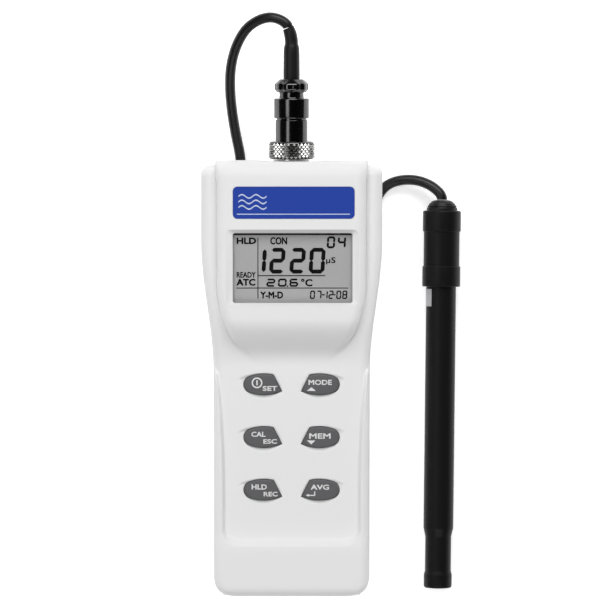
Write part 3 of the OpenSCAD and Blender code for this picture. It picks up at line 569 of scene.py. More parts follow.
# %% [markdown]
# Each half-section is mirrored, and the rows are skinned into one closed solid. The display block
# runs on past the flanks, so the last rows are only as wide as the block.

# %% Front shell
def shell_grid(name, rows):
    """A closed solid through (y, x, z) half-sections that all end on the parting line."""
    points = []
    for y, x, z in rows:
        points += [(-a, y, b) for a, b in zip(x[::-1], z[::-1])]
        points += [(a, y, b) for a, b in zip(x[1:], z[1:])]
    wide = 2 * len(rows[0][1]) - 1
    last = (len(rows) - 1) * wide
    faces = grid_faces(len(rows), wide)
    faces += [range(wide), range(last + wide - 1, last - 1, -1)]
    faces += [(r * wide, (r + 1) * wide, (r + 1) * wide + wide - 1, r * wide + wide - 1)
              for r in range(len(rows) - 1)]
    return new_mesh(name, points, faces, METER)


front_rows = [(y, *section(y)) for y in row_stops()]
block_end = np.array([0, 0.4, 0.8, 1.2, 1.6, 2.0, 2.2, 2.35, 2.4])
front_rows += [(y, *section(y, True)) for y in FLANK_L + block_end]
front = shell_grid("front_shell", front_rows)
print("front shell", len(front.data.polygons), "faces")

# %% [markdown]
# A key's outline has two long arcs, a round outer end and a slanted inner side. It serves twice:
# a little larger it is the hole in the face, and as it is, it is the key.

# %% Outlines for the openings
def key_outline(grow=0.0, steps=14):
    arc_c = KEY_R - KEY_W / 2
    out = KEY_L * 0.528
    end_r = (KEY_R ** 2 - out ** 2 - arc_c ** 2) / (2 * (KEY_R - out))
    end_x = out - end_r
    turn = math.atan2(arc_c, end_x)
    r = KEY_R + grow
    high_in = math.acos(-(KEY_L * 0.241 + grow) / r)
    low_in = math.acos(-(KEY_L * 0.472 + grow) / r)
    upper = [(r * math.cos(a), r * math.sin(a) - arc_c)
             for a in np.linspace(high_in, turn, steps)]
    nose = [(end_x + (end_r + grow) * math.cos(a), (end_r + grow) * math.sin(a))
            for a in np.linspace(turn, -turn, steps)[1:-1]]
    lower = [(r * math.cos(a), arc_c - r * math.sin(a))
             for a in np.linspace(turn, low_in, steps)]
    return upper + nose + lower


def at_key(outline, side, row):
    placed = [(side * (x + KEY_X), y + ROW_Y + row * ROW_PITCH) for x, y in outline]
    return placed if side > 0 else placed[::-1]


def inside_plan(inset, y0, y1):
    ys = np.concatenate([[y0], np.arange(y0 + 3, y1 - 2, 3), [y1]])
    return ([(float(half_w(y)) - inset, y) for y in ys]
            + [(inset - float(half_w(y)), y) for y in ys[::-1]])


def axis_cylinder(name, y0, y1, radius, x=0.0, sides=64):
    return turned(name, [(radius, y0), (radius, y1)], PLUG @ Matrix.Translation((x * MM, 0, 0)),
                  sides)


def end_cuts():
    """Fresh tools for the three round openings in the connector end, for either shell."""
    return [axis_cylinder("plug_recess", CASE_L - 2, CASE_L + 2, RECESS_R),
            axis_cylinder("socket_hole", 162, CASE_L - 1, SOCKET_R),
            axis_cylinder("jack_hole", 162, CASE_L + 2, JACK_R, JACK_X)]


RECESS_R, SOCKET_R, JACK_R, JACK_X = 12.4, 6.5, 3.05, 17.9
print("key outline", len(key_outline()), "points")

# %% [markdown]
# The openings are cut one after another. The bezel of the display is a pocket whose sides slope:
# the window's outline at the bottom, and a larger outline on top.

# %% Openings of the front shell
wx, wy, ww, wl = WINDOW
BEZEL_DEPTH = 1.8
BEZEL_Z = HEAD_H - BEZEL_DEPTH
bezel_low = round_box(ww, wl, 0.9, wx, wy)
bezel_high = round_box(ww + 5.2, wl + 2.6, 2.4, wx, wy + 0.2)
lift = (HEAD_H + 0.6 - BEZEL_Z) / (HEAD_H - BEZEL_Z)
bezel_over = [(a + (c - a) * lift, b + (d - b) * lift)
              for (a, b), (c, d) in zip(bezel_low, bezel_high)]
front_cuts = [
    prism("cavity", inside_plan(WALL + SEAM, WALL, FLANK_L - WALL), SPLIT_H - 1,
          KEYPAD_H - WALL),
    prism("well", round_box(54.7, 56.0, 1.5, 0, 141.6), 20, 32.5),
    prism("window_hole", round_box(ww - 0.06, wl - 0.06, 0.9, wx, wy), 30, 36.8),
    prism("bezel", bezel_low, BEZEL_Z, HEAD_H + 0.6, top=bezel_over),
    prism("lens_seat", round_box(ww + 3.2, wl + 3.2, 1.5, wx, wy), 32.4, 33.7),
    prism("label_seat", round_box(48.7, 13.0, 1.95, LABEL[0], LABEL[1]), HEAD_H - 0.45, 40)]
front_cuts += end_cuts()
front_cuts += [prism("key_hole", at_key(key_outline(0.2), *place), 22, 31)
               for place in KEYS.values()]
boolean(front, front_cuts)
front = finish_piece(front, "case_plastic", "meter", 40, ["front_case"])
print("front shell", len(front.data.polygons), "faces after cutting")

# %% [markdown]
# ## The rear shell
# It has the same plan, rounded bottom edges and an end block that falls away below the plug.
# Its section is a flat back, a quarter round and a short wall up to the parting line.

# %% Rear sections
END_HALF, END_R = 30.6, 13


def rear_section(y, past_flank=False):
    if past_flank:
        low = SPLIT_H - math.sqrt(max(0, END_R ** 2 - (y - (CASE_L - END_R)) ** 2))
        x = np.concatenate([np.linspace(0, END_HALF, 10), np.full(11, END_HALF)])
        return x, np.concatenate([np.full(10, low), np.linspace(low, SPLIT_H, 11)])
    wide = float(plan_w(y))
    low = float(corner(y, EDGE_R) + corner(FLANK_L - y, HEAD_R))
    turn = np.radians(np.linspace(-90, 0, 10))
    x = np.concatenate([np.linspace(0, wide - EDGE_R, 11)[:-1],
                        wide - EDGE_R + EDGE_R * np.cos(turn), [wide]])
    return x, np.concatenate([np.full(10, low), low + EDGE_R + EDGE_R * np.sin(turn), [SPLIT_H]])


rear_stops = np.unique(np.round(np.concatenate([
    GRIP_R * (1 - np.cos(np.radians(np.linspace(0, 90, 12)))), np.arange(8, 167, 4.0),
    FLANK_L - HEAD_R + HEAD_R * np.sin(np.radians(np.linspace(0, 90, 8)))]), 3))
rear_rows = [(y, *rear_section(y)) for y in rear_stops]
rear_rows += [(y, *rear_section(y, True)) for y in FLANK_L + np.linspace(0, 2.39, 9)]
rear = shell_grid("rear_shell", rear_rows)
print("rear shell", len(rear.data.polygons), "faces")

# %% [markdown]
# The shell is hollowed, then the battery bay's box, the stand's box and four screw bosses are
# added inside. Last, the door, the bay, the stand's pocket and the screw wells are cut from the
# back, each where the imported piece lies.

# %% Openings of the rear shell
STAND_W, HINGE_Y, BAY_HALF, BAY_Y1, COVER_HALF = 34.0, 101.6, 21.9, 55.1, 21.1
SCREWS = [(GRIP_W / 2 - 6.2, WAIST_Y + 4), (HEAD_W / 2 - 6.4, FLANK_L - 12)]


def at_screws(name, radius, low, high):
    """A cylinder at each of the four case screws."""
    return [turned(name, [(radius, low), (radius, high)],
                   METER @ Matrix.Translation((side * x * MM, y * MM, 0)), 32)
            for x, y in SCREWS for side in (-1, 1)]


hollow = prism("cavity", inside_plan(WALL + SEAM, WALL, FLANK_L - WALL), WALL, SPLIT_H + 1)
boolean(rear, [hollow] + end_cuts())
bay_box = round_box(2 * BAY_HALF + 3, BAY_Y1 + 0.3, 1, 0, BAY_Y1 / 2 + 1.35)
boolean(rear, [prism("bay_box", bay_box, 1.2, 15.1),
               prism("stand_box", round_box(STAND_W + 4, 51.0, 1, 0, 80.6), 1.2, 6.3)]
        + at_screws("boss", 3.8, 1.2, SPLIT_H), "UNION")
boolean(rear, [
    prism("bay", round_box(2 * BAY_HALF, BAY_Y1 - 6.4, 0.5, 0, (BAY_Y1 + 6.4) / 2), -1, 13.9),
    prism("door", round_box(2 * COVER_HALF + 0.3, 56.2, 0.5, 0, 26.9), -1, 2.05),
    prism("door_slots", round_box(2 * COVER_HALF + 3.1, 56.2, 0.4, 0, 26.9), 0.95, 2.05),
    prism("stand_pocket", round_box(STAND_W + 0.6, 45.1, 0.5, 0, 79.2), -1, 4.0),
    prism("hinge_pocket", round_box(STAND_W + 0.6, 5.6, 0.5, 0, HINGE_Y), -1, 6.2)]
        + at_screws("screw_well", 1.55, -1, SPLIT_H + 1)
        + at_screws("screw_head_well", 2.95, -1, SPLIT_H - 6))
rear = finish_piece(rear, "case_plastic", "meter", 40, ["rear_case"])
print("rear shell", len(rear.data.polygons), "faces after cutting")

# %% [markdown]
# ## Keys
# A key is a rubber button with a gentle dome and a flange that keeps it in its hole. Rings of its
# outline, set in step by step, round its upper edge and then follow the dome to the middle.

# %% Keys
CROWN_Z, CROWN_R = KEYPAD_H + 1.1, 42.0
FLANGE_Z, FLANGE_T, FLANGE_GROW = KEYPAD_H - WALL - 1.0, 0.9, 0.7
EDGE_DROP = 0.55


def key_top(x, y):
    return CROWN_Z - ((x - 0.5) ** 2 + y ** 2) / (2 * CROWN_R)


def build_key(name, side, row):
    outline, flange = key_outline(0, 16), key_outline(FLANGE_GROW, 16)
    middle = np.mean(outline, axis=0)
    rings = [(flange, FLANGE_Z), (flange, FLANGE_Z + FLANGE_T),
             (outline, FLANGE_Z + FLANGE_T), (outline, None)]
    points = [(x, y, z if z else float(key_top(x, y)) - EDGE_DROP)
              for ring, z in rings for x, y in ring]
    n = len(outline)
    for inset in (0.12, 0.35, 0.7, 1.3, 2.2):
        share = 1 - inset / 4.4
        drop = EDGE_DROP * (1 - math.sqrt(max(0, 1 - (1 - min(1, inset / 0.7)) ** 2)))
        for x, y in outline:
            x, y = middle[0] + (x - middle[0]) * share, middle[1] + (y - middle[1]) * share
            points.append((x, y, float(key_top(x, y)) - drop))
    rows = len(points) // n
    points.append((*middle, float(key_top(*middle))))
    faces = grid_faces(rows, n, closed=True) + [range(n)[::-1]]
    faces += [((rows - 1) * n + k, (rows - 1) * n + (k + 1) % n, len(points) - 1)
              for k in range(n)]
    points = [(side * (x + KEY_X), y + ROW_Y + row * ROW_PITCH, z) for x, y, z in points]
    return finish_piece(new_mesh(name + "_cap", points, faces, METER), "key_rubber", name, 50,
                        [name])


for name, place in KEYS.items():
    build_key(name, *place)
print("keys", len(KEYS))

# %% [markdown]
# ## Printed marks
# A flat shape, such as a letter or a display segment, becomes a thin sheet with a closed edge.
# It is then set on a plane, or draped over a key's dome. Letters start as a text object that is
# turned into a mesh and fitted to its width and height.

# %% Letters
def text_shape(words, width, height, x=0.0, y=0.0, bold=0.1):
    """Words fitted into a width and a height about (x, y). Shifted copies make them bold."""
    curve = bpy.data.curves.new("words", "FONT")
    curve.body, curve.size, curve.resolution_u = words, 1, 3
    curve.extrude = 0.02
    holder = bpy.data.objects.new("words", curve)
    bpy.context.scene.collection.objects.link(holder)
    flat = bpy.data.meshes.new_from_object(
        holder.evaluated_get(bpy.context.evaluated_depsgraph_get()))
    points = np.array([v.co for v in flat.vertices])
    faces = [list(p.vertices) for p in flat.polygons]
    bpy.data.objects.remove(holder)
    low, high = points.min(axis=0), points.max(axis=0)
    middle = (low + high) / 2
    scale = ((width - 2 * bold) / (high[0] - low[0]), (height - 2 * bold) / (high[1] - low[1]), 1)
    points = (points - middle) * scale
    shapes = []
    for dx, dy in ((-1, -0.6), (1, -0.6), (-1, 0.6), (1, 0.6), (0, 1), (0, -1)):
        shifted = points + (x + dx * bold, y + dy * bold, 0)
        shapes.append((shifted.tolist(), faces))
    return join_shapes(shapes)


def join_shapes(shapes):
    points, faces = [], []
    for shape_points, shape_faces in shapes:
        start = len(points)
        points += shape_points
        faces += [[start + k for k in face] for face in shape_faces]
    return points, faces

# %% [markdown]
# Lines, arrows and rings are sheets too. Each is a list of points and faces, so that many can be
# joined into one printed mark before a mesh is made.

# %% Lines and rings
def sheet_shape(outline, t=0.02):
    n = len(outline)
    area = sum(a[0] * b[1] - b[0] * a[1] for a, b in zip(outline, outline[1:] + outline[:1]))
    if area < 0:
        outline = outline[::-1]
    points = [(x, y, z) for z in (-t, t) for x, y in outline]
    sides = [(k, (k + 1) % n, n + (k + 1) % n, n + k) for k in range(n)]
    return points, sides + [list(range(n))[::-1], list(range(n, 2 * n))]


def bar(x0, y0, x1, y1, width):
    d = np.array([x1 - x0, y1 - y0], float)
    d /= np.linalg.norm(d)
    e = np.array([-d[1], d[0]]) * width / 2
    a, b = np.array([x0, y0]), np.array([x1, y1])
    return sheet_shape([tuple(a + e), tuple(a - e), tuple(b - e), tuple(b + e)])


def ring_shape(x, y, radius, width, steps=24):
    angles = np.radians(np.linspace(0, 360, steps))
    outer, inner = [[(x + (radius + edge) * math.cos(a), y + (radius + edge) * math.sin(a))
                     for a in angles] for edge in (width / 2, -width / 2)]
    points = [(p[0], p[1], z) for z in (-0.02, 0.02) for p in outer + inner]
    n = 2 * steps
    faces = []
    for k in range(steps - 1):
        faces += [(k, k + 1, steps + k + 1, steps + k)[::-1],
                  (n + k, n + k + 1, n + steps + k + 1, n + steps + k),
                  (k, k + 1, n + k + 1, n + k),
                  (steps + k, steps + k + 1, n + steps + k + 1, n + steps + k)[::-1]]
    return points, faces

# %% [markdown]
# A mark is one piece made of many shapes. It needs a rule that says where on its surface each of
# its points lies, which may be a plane or a dome.

# %% Marks
def mark(name, shapes, place, slot, finish, body):
    """One piece from flat shapes. place turns a shape's (x, y, z) into the frame's point."""
    points, faces = join_shapes(shapes)
    made = new_mesh(name, [place(*p) for p in points], faces, METER)
    made.data.materials.append(materials[finish])
    print(name, len(made.data.polygons), "faces")
    return finish_piece(made, slot, body, 30)

# %% [markdown]
# The legends are plain words for what the keys do. Each is drawn about its key's middle, with
# the key's own left and right kept, and draped on the dome.

# %% Key legends
LEGENDS = {
    "power_key": [ring_shape(-2.75, 0.75, 1.9, 0.55), bar(-2.75, -0.2, -2.75, 1.8, 0.55),
                  text_shape("SET", 5.9, 2.0, 2.45, -1.5)],
    "mode_key": [text_shape("MODE", 9.4, 2.1, 0.4, 0.95),
                 sheet_shape([(-5.0, -2.5), (-1.3, -2.5), (-3.15, -1.0)])],
    "calibrate_key": [text_shape("CAL", 5.7, 2.1, -2.2, 1.3),
                      text_shape("ESC", 5.5, 1.9, 2.5, -1.6)],
    "memory_key": [text_shape("MEM", 8.6, 2.2, 0.3, 0.6),
                   sheet_shape([(-4.9, -1.2), (-1.5, -1.2), (-3.2, -2.8)])],
    "hold_key": [text_shape("HLD", 6.2, 2.1, -1.9, 1.3),
                 text_shape("REC", 5.7, 1.9, 2.7, -1.6)],
    "enter_key": [text_shape("AVG", 7.4, 2.1, 0.3, 1.2), bar(-4.6, -2.1, -1.6, -2.1, 0.45),
                  bar(-1.8, -2.1, -1.8, -0.5, 0.45),
                  sheet_shape([(-5.4, -2.1), (-4.2, -1.5), (-4.2, -2.7)])],
}
for name, shapes in LEGENDS.items():
    side, row = KEYS[name]

    def drape(x, y, z, side=side, row=row):
        return (x + side * KEY_X, y + ROW_Y + row * ROW_PITCH,
                float(key_top(side * x, y)) + 0.03 + z)

    mark(name + "_legend", shapes, drape, "key_rubber", "legend", name)
print("legends", len(LEGENDS))

# %% [markdown]
# The display's figures are seven-segment digits, each segment a bar with pointed ends, leaning
# a little to the right. They lie on the glass, under the clear window.

# %% Seven-segment digits
SEGMENTS = {"0": "abcdef", "1": "bc", "2": "abged", "4": "fgbc", "6": "afgedc", "7": "abc",
            "8": "abcdefg"}


def digit(character, x, y, width, height, stroke, lean=0.06):
    s, gap = stroke / 2, stroke * 0.08
    w, h = width - stroke, height - stroke
    ends = {"a": ((0, h), (w, h)), "b": ((w, h), (w, h / 2)), "c": ((w, h / 2), (w, 0)),
            "d": ((0, 0), (w, 0)), "e": ((0, 0), (0, h / 2)), "f": ((0, h / 2), (0, h)),
            "g": ((0, h / 2), (w, h / 2))}
    shapes = []
    for name in SEGMENTS[character]:
        a, b = (np.array(p, float) for p in ends[name])
        d = (b - a) / np.linalg.norm(b - a)
        e = np.array([-d[1], d[0]]) * s
        a, b = a + d * gap, b - d * gap
        outline = [a - d * s * 0.4, a + d * s * 0.6 + e, b - d * s * 0.6 + e, b + d * s * 0.4,
                   b - d * s * 0.6 - e, a + d * s * 0.6 - e]
        shapes.append(sheet_shape([(p[0] + s + x + lean * (p[1] + s), p[1] + s + y)
                                   for p in outline]))
    return shapes


def digits(words, x, y, width, height, stroke, pitch):
    shapes = []
    for k, character in enumerate(words):
        shapes += digit(character, x + k * pitch, y, width, height, stroke)
    return shapes


print("an eight has", len(digit("8", 0, 0, 3, 5, 1)), "segments")

# %% [markdown]
# The display shows a reading, its unit, the memory number, a temperature and a date. A dark bar
# along the top of the glass is painted shadow, the shade of the window's upper wall. Places are
# counted in millimetres from the window's lower left corner.

# %% Display marks
lcd_marks_and_shadow = (digit("1", 6.9, 11.7, 6.2, 10.3, 1.6) + digit("2", 14.5, 11.7, 6.1, 10.3, 1.6)
             + digit("2", 22.6, 11.7, 6.1, 10.3, 1.6) + digit("0", 30.3, 11.7, 6.3, 10.3, 1.6)
             + digits("04", 37.5, 21.8, 3.3, 4.8, 0.85, 4.3)
             + digits("206", 13.4, 6.4, 3.5, 3.3, 0.75, 4.6)
             + digits("07", 30.8, 1.5, 2.0, 3.4, 0.55, 2.6)
             + digits("12", 35.9, 1.5, 2.0, 3.4, 0.55, 2.3)
             + digits("08", 41.3, 1.5, 2.0, 3.4, 0.55, 2.4))
lcd_marks_and_shadow += [
    bar(10.1, 1.7, 10.1, 26.1, 0.35), bar(10.1, 10.85, 37.0, 10.85, 0.4),
    bar(1.5, 5.9, 46.2, 5.9, 0.35), bar(35.5, 3.2, 36.8, 3.2, 0.5), bar(40.2, 3.2, 41.1, 3.2, 0.5),
    # The last bar below, along the top edge of the glass, is painted shadow from the window's upper wall.
    bar(21.6, 6.6, 22.2, 6.6, 0.6), bar(0.4, 27.5, 47.5, 27.5, 0.8),
    text_shape("HLD", 7.8, 2.6, 5.5, 24.8, 0.16),
    text_shape("CON", 6.8, 3.0, 18.4, 24.8, 0.13), text_shape("READY", 7.6, 2.3, 5.4, 11.2, 0.08),
    text_shape("ATC", 7.6, 2.8, 5.3, 8.2, 0.15), text_shape("µS", 3.8, 2.9, 39.2, 16.8, 0.07),
    text_shape("°C", 4.6, 3.1, 29.6, 8.1, 0.13), text_shape("Y-M-D", 9.1, 2.8, 15.6, 3.1, 0.13)]
LCD_Z = 32.4


def on_glass(x, y, z):
    return (WINDOW[0] - WINDOW[2] / 2 + x, WINDOW[1] - WINDOW[3] / 2 + y, LCD_Z + 0.025 + z)


mark("lcd_marks_and_shadow", lcd_marks_and_shadow, on_glass, "lcd_glass", "lcd_ink_and_shadow", "meter")

# %% [markdown]
# The label is a thin plate. A pale line and three plain waves take the place of any name.

# %% Label marks
label_z = HEAD_H + 0.05


def on_label(x, y, z):
    return (LABEL[0] - LABEL[2] / 2 + x, LABEL[1] - LABEL[3] / 2 + y, label_z + 0.01 + z)


def wave(y, x0, x1, height, width, steps=40):
    xs = np.linspace(x0, x1, steps)
    ys = y + height * np.sin((xs - x0) / (x1 - x0) * 4 * math.pi)
    return sheet_shape(list(zip(xs, ys + width / 2)) + list(zip(xs[::-1], ys[::-1] - width / 2)))


mark("label_marks", [bar(1.6, 1.8, 46.6, 1.8, 0.35)]
     + [wave(y, 2.2, 13.4, 0.7, 0.55) for y in (8.9, 6.7, 4.5)],
     on_label, "blue_label", "pale_line", "meter")

# %% [markdown]
# ## The connector
# These pieces are turned round the plug's axis. A section is a list of (radius, place along the
# axis) points, and the place is counted from the grip end of the case, as everywhere else.

# %% Sections with rounded corners
def rounded(profile, radii, steps=5):
    """The closed profile with each corner rounded by its own radius."""
    n, out = len(profile), []
    for k, radius in enumerate(radii):
        p = np.array(profile[k], float)
        a, b = np.array(profile[k - 1], float) - p, np.array(profile[(k + 1) % n], float) - p
        if radius <= 0:
            out.append(tuple(p))
            continue
        u, v = a / np.linalg.norm(a), b / np.linalg.norm(b)
        half = math.acos(max(-1, min(1, float(u @ v)))) / 2
        reach = min(radius / math.tan(half), 0.49 * min(np.linalg.norm(a), np.linalg.norm(b)))
        for t in np.linspace(0, 1, steps):
            out.append(tuple(p + u * reach * (1 - t) ** 2 + v * reach * t ** 2))
    return out + [out[0]]

# %% [markdown]
# The sizes below are shared by the connector's pieces. The coupling ring is a plain turned ring
# first, and its knurl is laid on it in the next step.

# %% Coupling ring
RING_Y, RING_END, SOCKET_END = CASE_L + 0.6, CASE_L + 7.7, CASE_L + 4.6
BACK_Y, BACK_END = CASE_L + 16.9, CASE_L + 24.9
NUT_Y, NUT_END, BOOT_Y = CASE_L + 27.3, CASE_L + 32.6, CASE_L + 46.7
THREAD_R, RING_R, BARREL_R, BACK_R, NUT_R = 7.4, 9.35, 6.45, 7.05, 6.7

BODY_R = RING_R - 0.45      # the ring's body, under the knurl
ring_section = rounded([(THREAD_R + 0.05, RING_Y), (BODY_R, RING_Y),
                        (BODY_R, RING_END), (BARREL_R + 0.05, RING_END),
                        (BARREL_R + 0.05, SOCKET_END + 1.7), (THREAD_R + 0.05, SOCKET_END + 1.7)],
                       [0.4, 1.3, 1.9, 0, 0, 0], 8)
ring = turned("knurled_ring", ring_section, PLUG, 128)
# The ring's body gets the darkened nickel, painted shade for its dark reflections.
ring.data.materials.append(materials["nickel_painted_dark_reflection"])
print("plain ring", len(ring.data.polygons), "faces")

# %% [markdown]
# The knurl is a field of small pyramids. Geometry Nodes lays them in staggered rows round the
# ring, from the pyramid's size, the number round the ring and the number of rows. These helpers
# make an empty tree with named inputs, and add nodes to it with their inputs joined.

# %% Node tree helpers
def new_tree(name, inputs):
    tree = bpy.data.node_groups.new(name, "GeometryNodeTree")
    for title, kind in {"Geometry": "Geometry", **inputs}.items():
        tree.interface.new_socket(title, in_out="INPUT", socket_type="NodeSocket" + kind)
    tree.interface.new_socket("Geometry", in_out="OUTPUT", socket_type="NodeSocketGeometry")
    return tree, tree.nodes.new("NodeGroupInput").outputs, tree.nodes.new("NodeGroupOutput")


def add_node(tree, kind, inputs, **settings):
    """A node with its settings, and each named input set to a value or joined to a socket."""
    node = tree.nodes.new(kind)
    for key, value in settings.items():
        setattr(node, key, value)
    for key, value in inputs.items():
        if isinstance(value, bpy.types.NodeSocket):
            tree.links.new(value, node.inputs[key])
        else:
            node.inputs[key].default_value = value
    return node.outputs[0]


def work_out(tree, kind, *values):
    return add_node(tree, "ShaderNodeMath", dict(enumerate(values)), operation=kind)

# %% [markdown]
# A pyramid's number gives its row and its place in the row. Every second row is turned by half a
# step. A pyramid is a cone with four sides, turned to stand on the ring with a corner along the
# axis, and only the pyramids get the plain nickel; the ring's body keeps the darkened nickel,
# painted shade for its dark reflections.

# %% Knurl
def make_knurl_tree():
    tree, given, end = new_tree("knurl", {
        "Around": "Int", "Rows": "Int", "Radius": "Float", "Start": "Float", "Pitch": "Float",
        "Size": "Float", "Material": "Material"})
    index = add_node(tree, "GeometryNodeInputIndex", {})
    row = work_out(tree, "FLOOR", work_out(tree, "DIVIDE", index, given["Around"]))
    column = work_out(tree, "MODULO", index, given["Around"])
    half_step = work_out(tree, "MULTIPLY", work_out(tree, "MODULO", row, 2.0), 0.5)
    steps = work_out(tree, "ADD", column, half_step)
    turn = work_out(tree, "DIVIDE", work_out(tree, "MULTIPLY", steps, 2 * math.pi),
                    given["Around"])
    across, up = work_out(tree, "COSINE", turn), work_out(tree, "SINE", turn)
    outward = add_node(tree, "ShaderNodeCombineXYZ", {"X": across, "Y": up})
    rise = work_out(tree, "MULTIPLY", row, given["Pitch"])
    place = add_node(tree, "ShaderNodeCombineXYZ", {
        "X": work_out(tree, "MULTIPLY", across, given["Radius"]),
        "Y": work_out(tree, "MULTIPLY", up, given["Radius"]),
        "Z": work_out(tree, "ADD", given["Start"], rise)})
    count = work_out(tree, "MULTIPLY", given["Around"], given["Rows"])
    points = add_node(tree, "GeometryNodePoints", {"Count": count, "Position": place})
    pyramid = add_node(tree, "GeometryNodeMeshCone", {
        "Vertices": 4, "Radius Top": 0, "Radius Bottom": given["Size"],
        "Depth": work_out(tree, "MULTIPLY", given["Size"], 0.75)}, fill_type="NGON")
    level = add_node(tree, "FunctionNodeAlignRotationToVector", {"Vector": outward}, axis="Z",
                     pivot_axis="AUTO")
    square = add_node(tree, "FunctionNodeAlignRotationToVector", {
        "Vector": (0, 0, 1), "Rotation": level}, axis="X", pivot_axis="Z")
    copies = add_node(tree, "GeometryNodeInstanceOnPoints", {
        "Points": points, "Instance": pyramid, "Rotation": square})
    real = add_node(tree, "GeometryNodeRealizeInstances", {"Geometry": copies})
    painted = add_node(tree, "GeometryNodeSetMaterial", {
        "Geometry": real, "Material": given["Material"]})
    both = tree.nodes.new("GeometryNodeJoinGeometry")
    for part in (painted, given["Geometry"]):
        tree.links.new(part, both.inputs[0])
    tree.links.new(both.outputs[0], end.inputs[0])
    print("knurl tree", len(tree.nodes), "nodes")
    return tree


knurl_tree = make_knurl_tree()

# %% [markdown]
# The tree works round z, so the ring is turned back to z, gets its knurl, and is laid on the
# plug's axis again. An input of the modifier is set by its socket's identifier.

# %% Knurl on the ring
def run_group(target, group, values):
    step = target.modifiers.new(group.name, "NODES")
    step.node_group = group
    for item in group.interface.items_tree:
        if item.in_out == "INPUT" and item.name in values:
            step[item.identifier] = values[item.name]
    bake(target)


ring.data.transform(PLUG.inverted())
run_group(ring, knurl_tree, {
    "Around": 32, "Rows": 6, "Radius": (RING_R - 0.47) * MM, "Start": (RING_Y + 1.1) * MM,
    "Pitch": 0.92 * MM, "Size": 0.8 * MM, "Material": materials["nickel"]})
ring.data.transform(PLUG)
ring = finish_piece(ring, "nickel", "coupling_ring", 28, ["coupling_ring"])
print("ring", len(ring.data.polygons), "faces")

# %% [markdown]
# The plug's barrel, its back shell and the clamp nut share one axis. The nut is lobed: its radius
# dips ten times round, but only at its rim, and its faces stay flat.

# %% Barrel, back shell and clamp nut
barrel = turned("plug_barrel", rounded(
    [(4.6, CASE_L + 0.2), (5.5, CASE_L + 0.2), (5.5, SOCKET_END + 0.1),
     (THREAD_R - 0.1, SOCKET_END + 0.1), (THREAD_R - 0.1, SOCKET_END + 1.6),
     (BARREL_R, SOCKET_END + 1.6), (BARREL_R, BACK_Y - 0.65), (BARREL_R - 0.5, BACK_Y - 0.6),
     (BARREL_R - 0.5, BACK_Y), (5.6, BACK_Y), (5.6, BACK_Y + 3.3), (4.6, BACK_Y + 3.3)],
    [0, 0, 0, 0, 0, 0.1, 0.3, 0, 0, 0, 0, 0]), PLUG, 96)

back = turned("plug_back", rounded(
    [(5.65, BACK_Y), (BACK_R, BACK_Y), (BACK_R, BACK_END), (5.0, BACK_END - 0.02),
     (4.85, BACK_END + 1.2), (5.0, NUT_END - 1.6), (3.4, NUT_END - 1.6), (3.4, BACK_END - 1),
     (4.6, BACK_END - 1.5), (4.6, BACK_Y + 3.5), (5.65, BACK_Y + 3.5)],
    [0, 0.5, 0.45, 0.5, 0, 0, 0, 0, 0, 0, 0]), PLUG, 96)


def lobes(radius, angle):
    share = float(smooth(NUT_R - 1.6, NUT_R - 0.3, radius))
    return radius - 0.32 * share * (0.5 - 0.5 * math.cos(10 * angle)) ** 1.5


nut = turned("plug_nut", rounded(
    [(5.05, NUT_Y), (NUT_R - 0.9, NUT_Y), (NUT_R + 0.05, NUT_Y + 1.3),
     (NUT_R + 0.05, NUT_END - 1.9), (NUT_R - 1.9, NUT_END), (3.4, NUT_END),
     (3.4, NUT_END - 1.5), (5.05, NUT_END - 1.5)], [0, 0.5, 1.0, 1.2, 0.7, 0, 0, 0], 6),
    PLUG, 160, lobes)
for piece, node in ((barrel, "plug_shell"), (back, "plug_back_shell"), (nut, "clamp_nut")):
    # These pieces get the darkened nickel, painted shade for the dark reflections of their plating.
    piece.data.materials.append(materials["nickel_painted_dark_reflection"])
    finish_piece(piece, "nickel", "meter", 30, [node])
    print(node, len(piece.data.polygons), "faces")

# %% [markdown]
# The boot is a black sleeve whose thin end already leans with the cable. It is a tube through
# centres that run straight along the axis and then round a 16 mm bend.

# %% Boot
def sleeve(name, stations, to, sides=40):
    """A closed tube through (centre, direction, radius) stations, in millimetres."""
    points = []
    for centre, direction, radius in stations:
        along = Vector(direction).normalized()
        across = along.cross(Vector((0, 0, 1))).normalized()
        up = across.cross(along)
        for a in np.linspace(0, 2 * math.pi, sides, endpoint=False):
            points.append(tuple(Vector(centre) + radius * (math.cos(a) * across + math.sin(a) * up)))
    last = (len(stations) - 1) * sides
    faces = grid_faces(len(stations), sides, closed=True)
    return new_mesh(name, points, faces + [range(sides), range(last, last + sides)], to)


boot_stations = [((0, y, SPLIT_H), (0, 1, 0), r) for y, r in
                 ((NUT_END - 1.5, 3.25), (NUT_END + 2, 3.28), (BOOT_Y - 4, 3.2),
                  (BOOT_Y - 1.6, 3.1), (BOOT_Y - 0.6, 2.85), (BOOT_Y, 2.65))]
for degrees, end_r in ((4, 2.62), (8, 2.6), (12, 2.58), (16, 2.53), (20, 2.45), (24, 2.3)):
    a = math.radians(degrees)
    boot_stations.append(((-16 + 16 * math.cos(a), BOOT_Y + 16 * math.sin(a), SPLIT_H),
                          (-math.sin(a), math.cos(a), 0), end_r))
boot = sleeve("boot", boot_stations, METER)
finish_piece(boot, "black_rubber", "meter", 35, ["plug_boot"])
print("boot", len(boot.data.polygons), "faces")

# %% [markdown]
# ## The probe
# The probe is turned too. Its shaft ends in a tip with a bead, and its handle sits between two
# wider collars. The strain relief is a low dome with ribs.

# %% Probe
FERRULE_T, HANDLE_T = TIP_L + TUBE_L, TIP_L + TUBE_L + 8.4
CAP_T, RELIEF_T = HANDLE_T + 14, HANDLE_T + 22.6


def solid_section(profile, radii, steps=5):
    """A section that starts and ends on the axis, with rounded corners between."""
    return [(max(r, 1e-3), z) for r, z in rounded(profile, radii, steps)[:-1]]


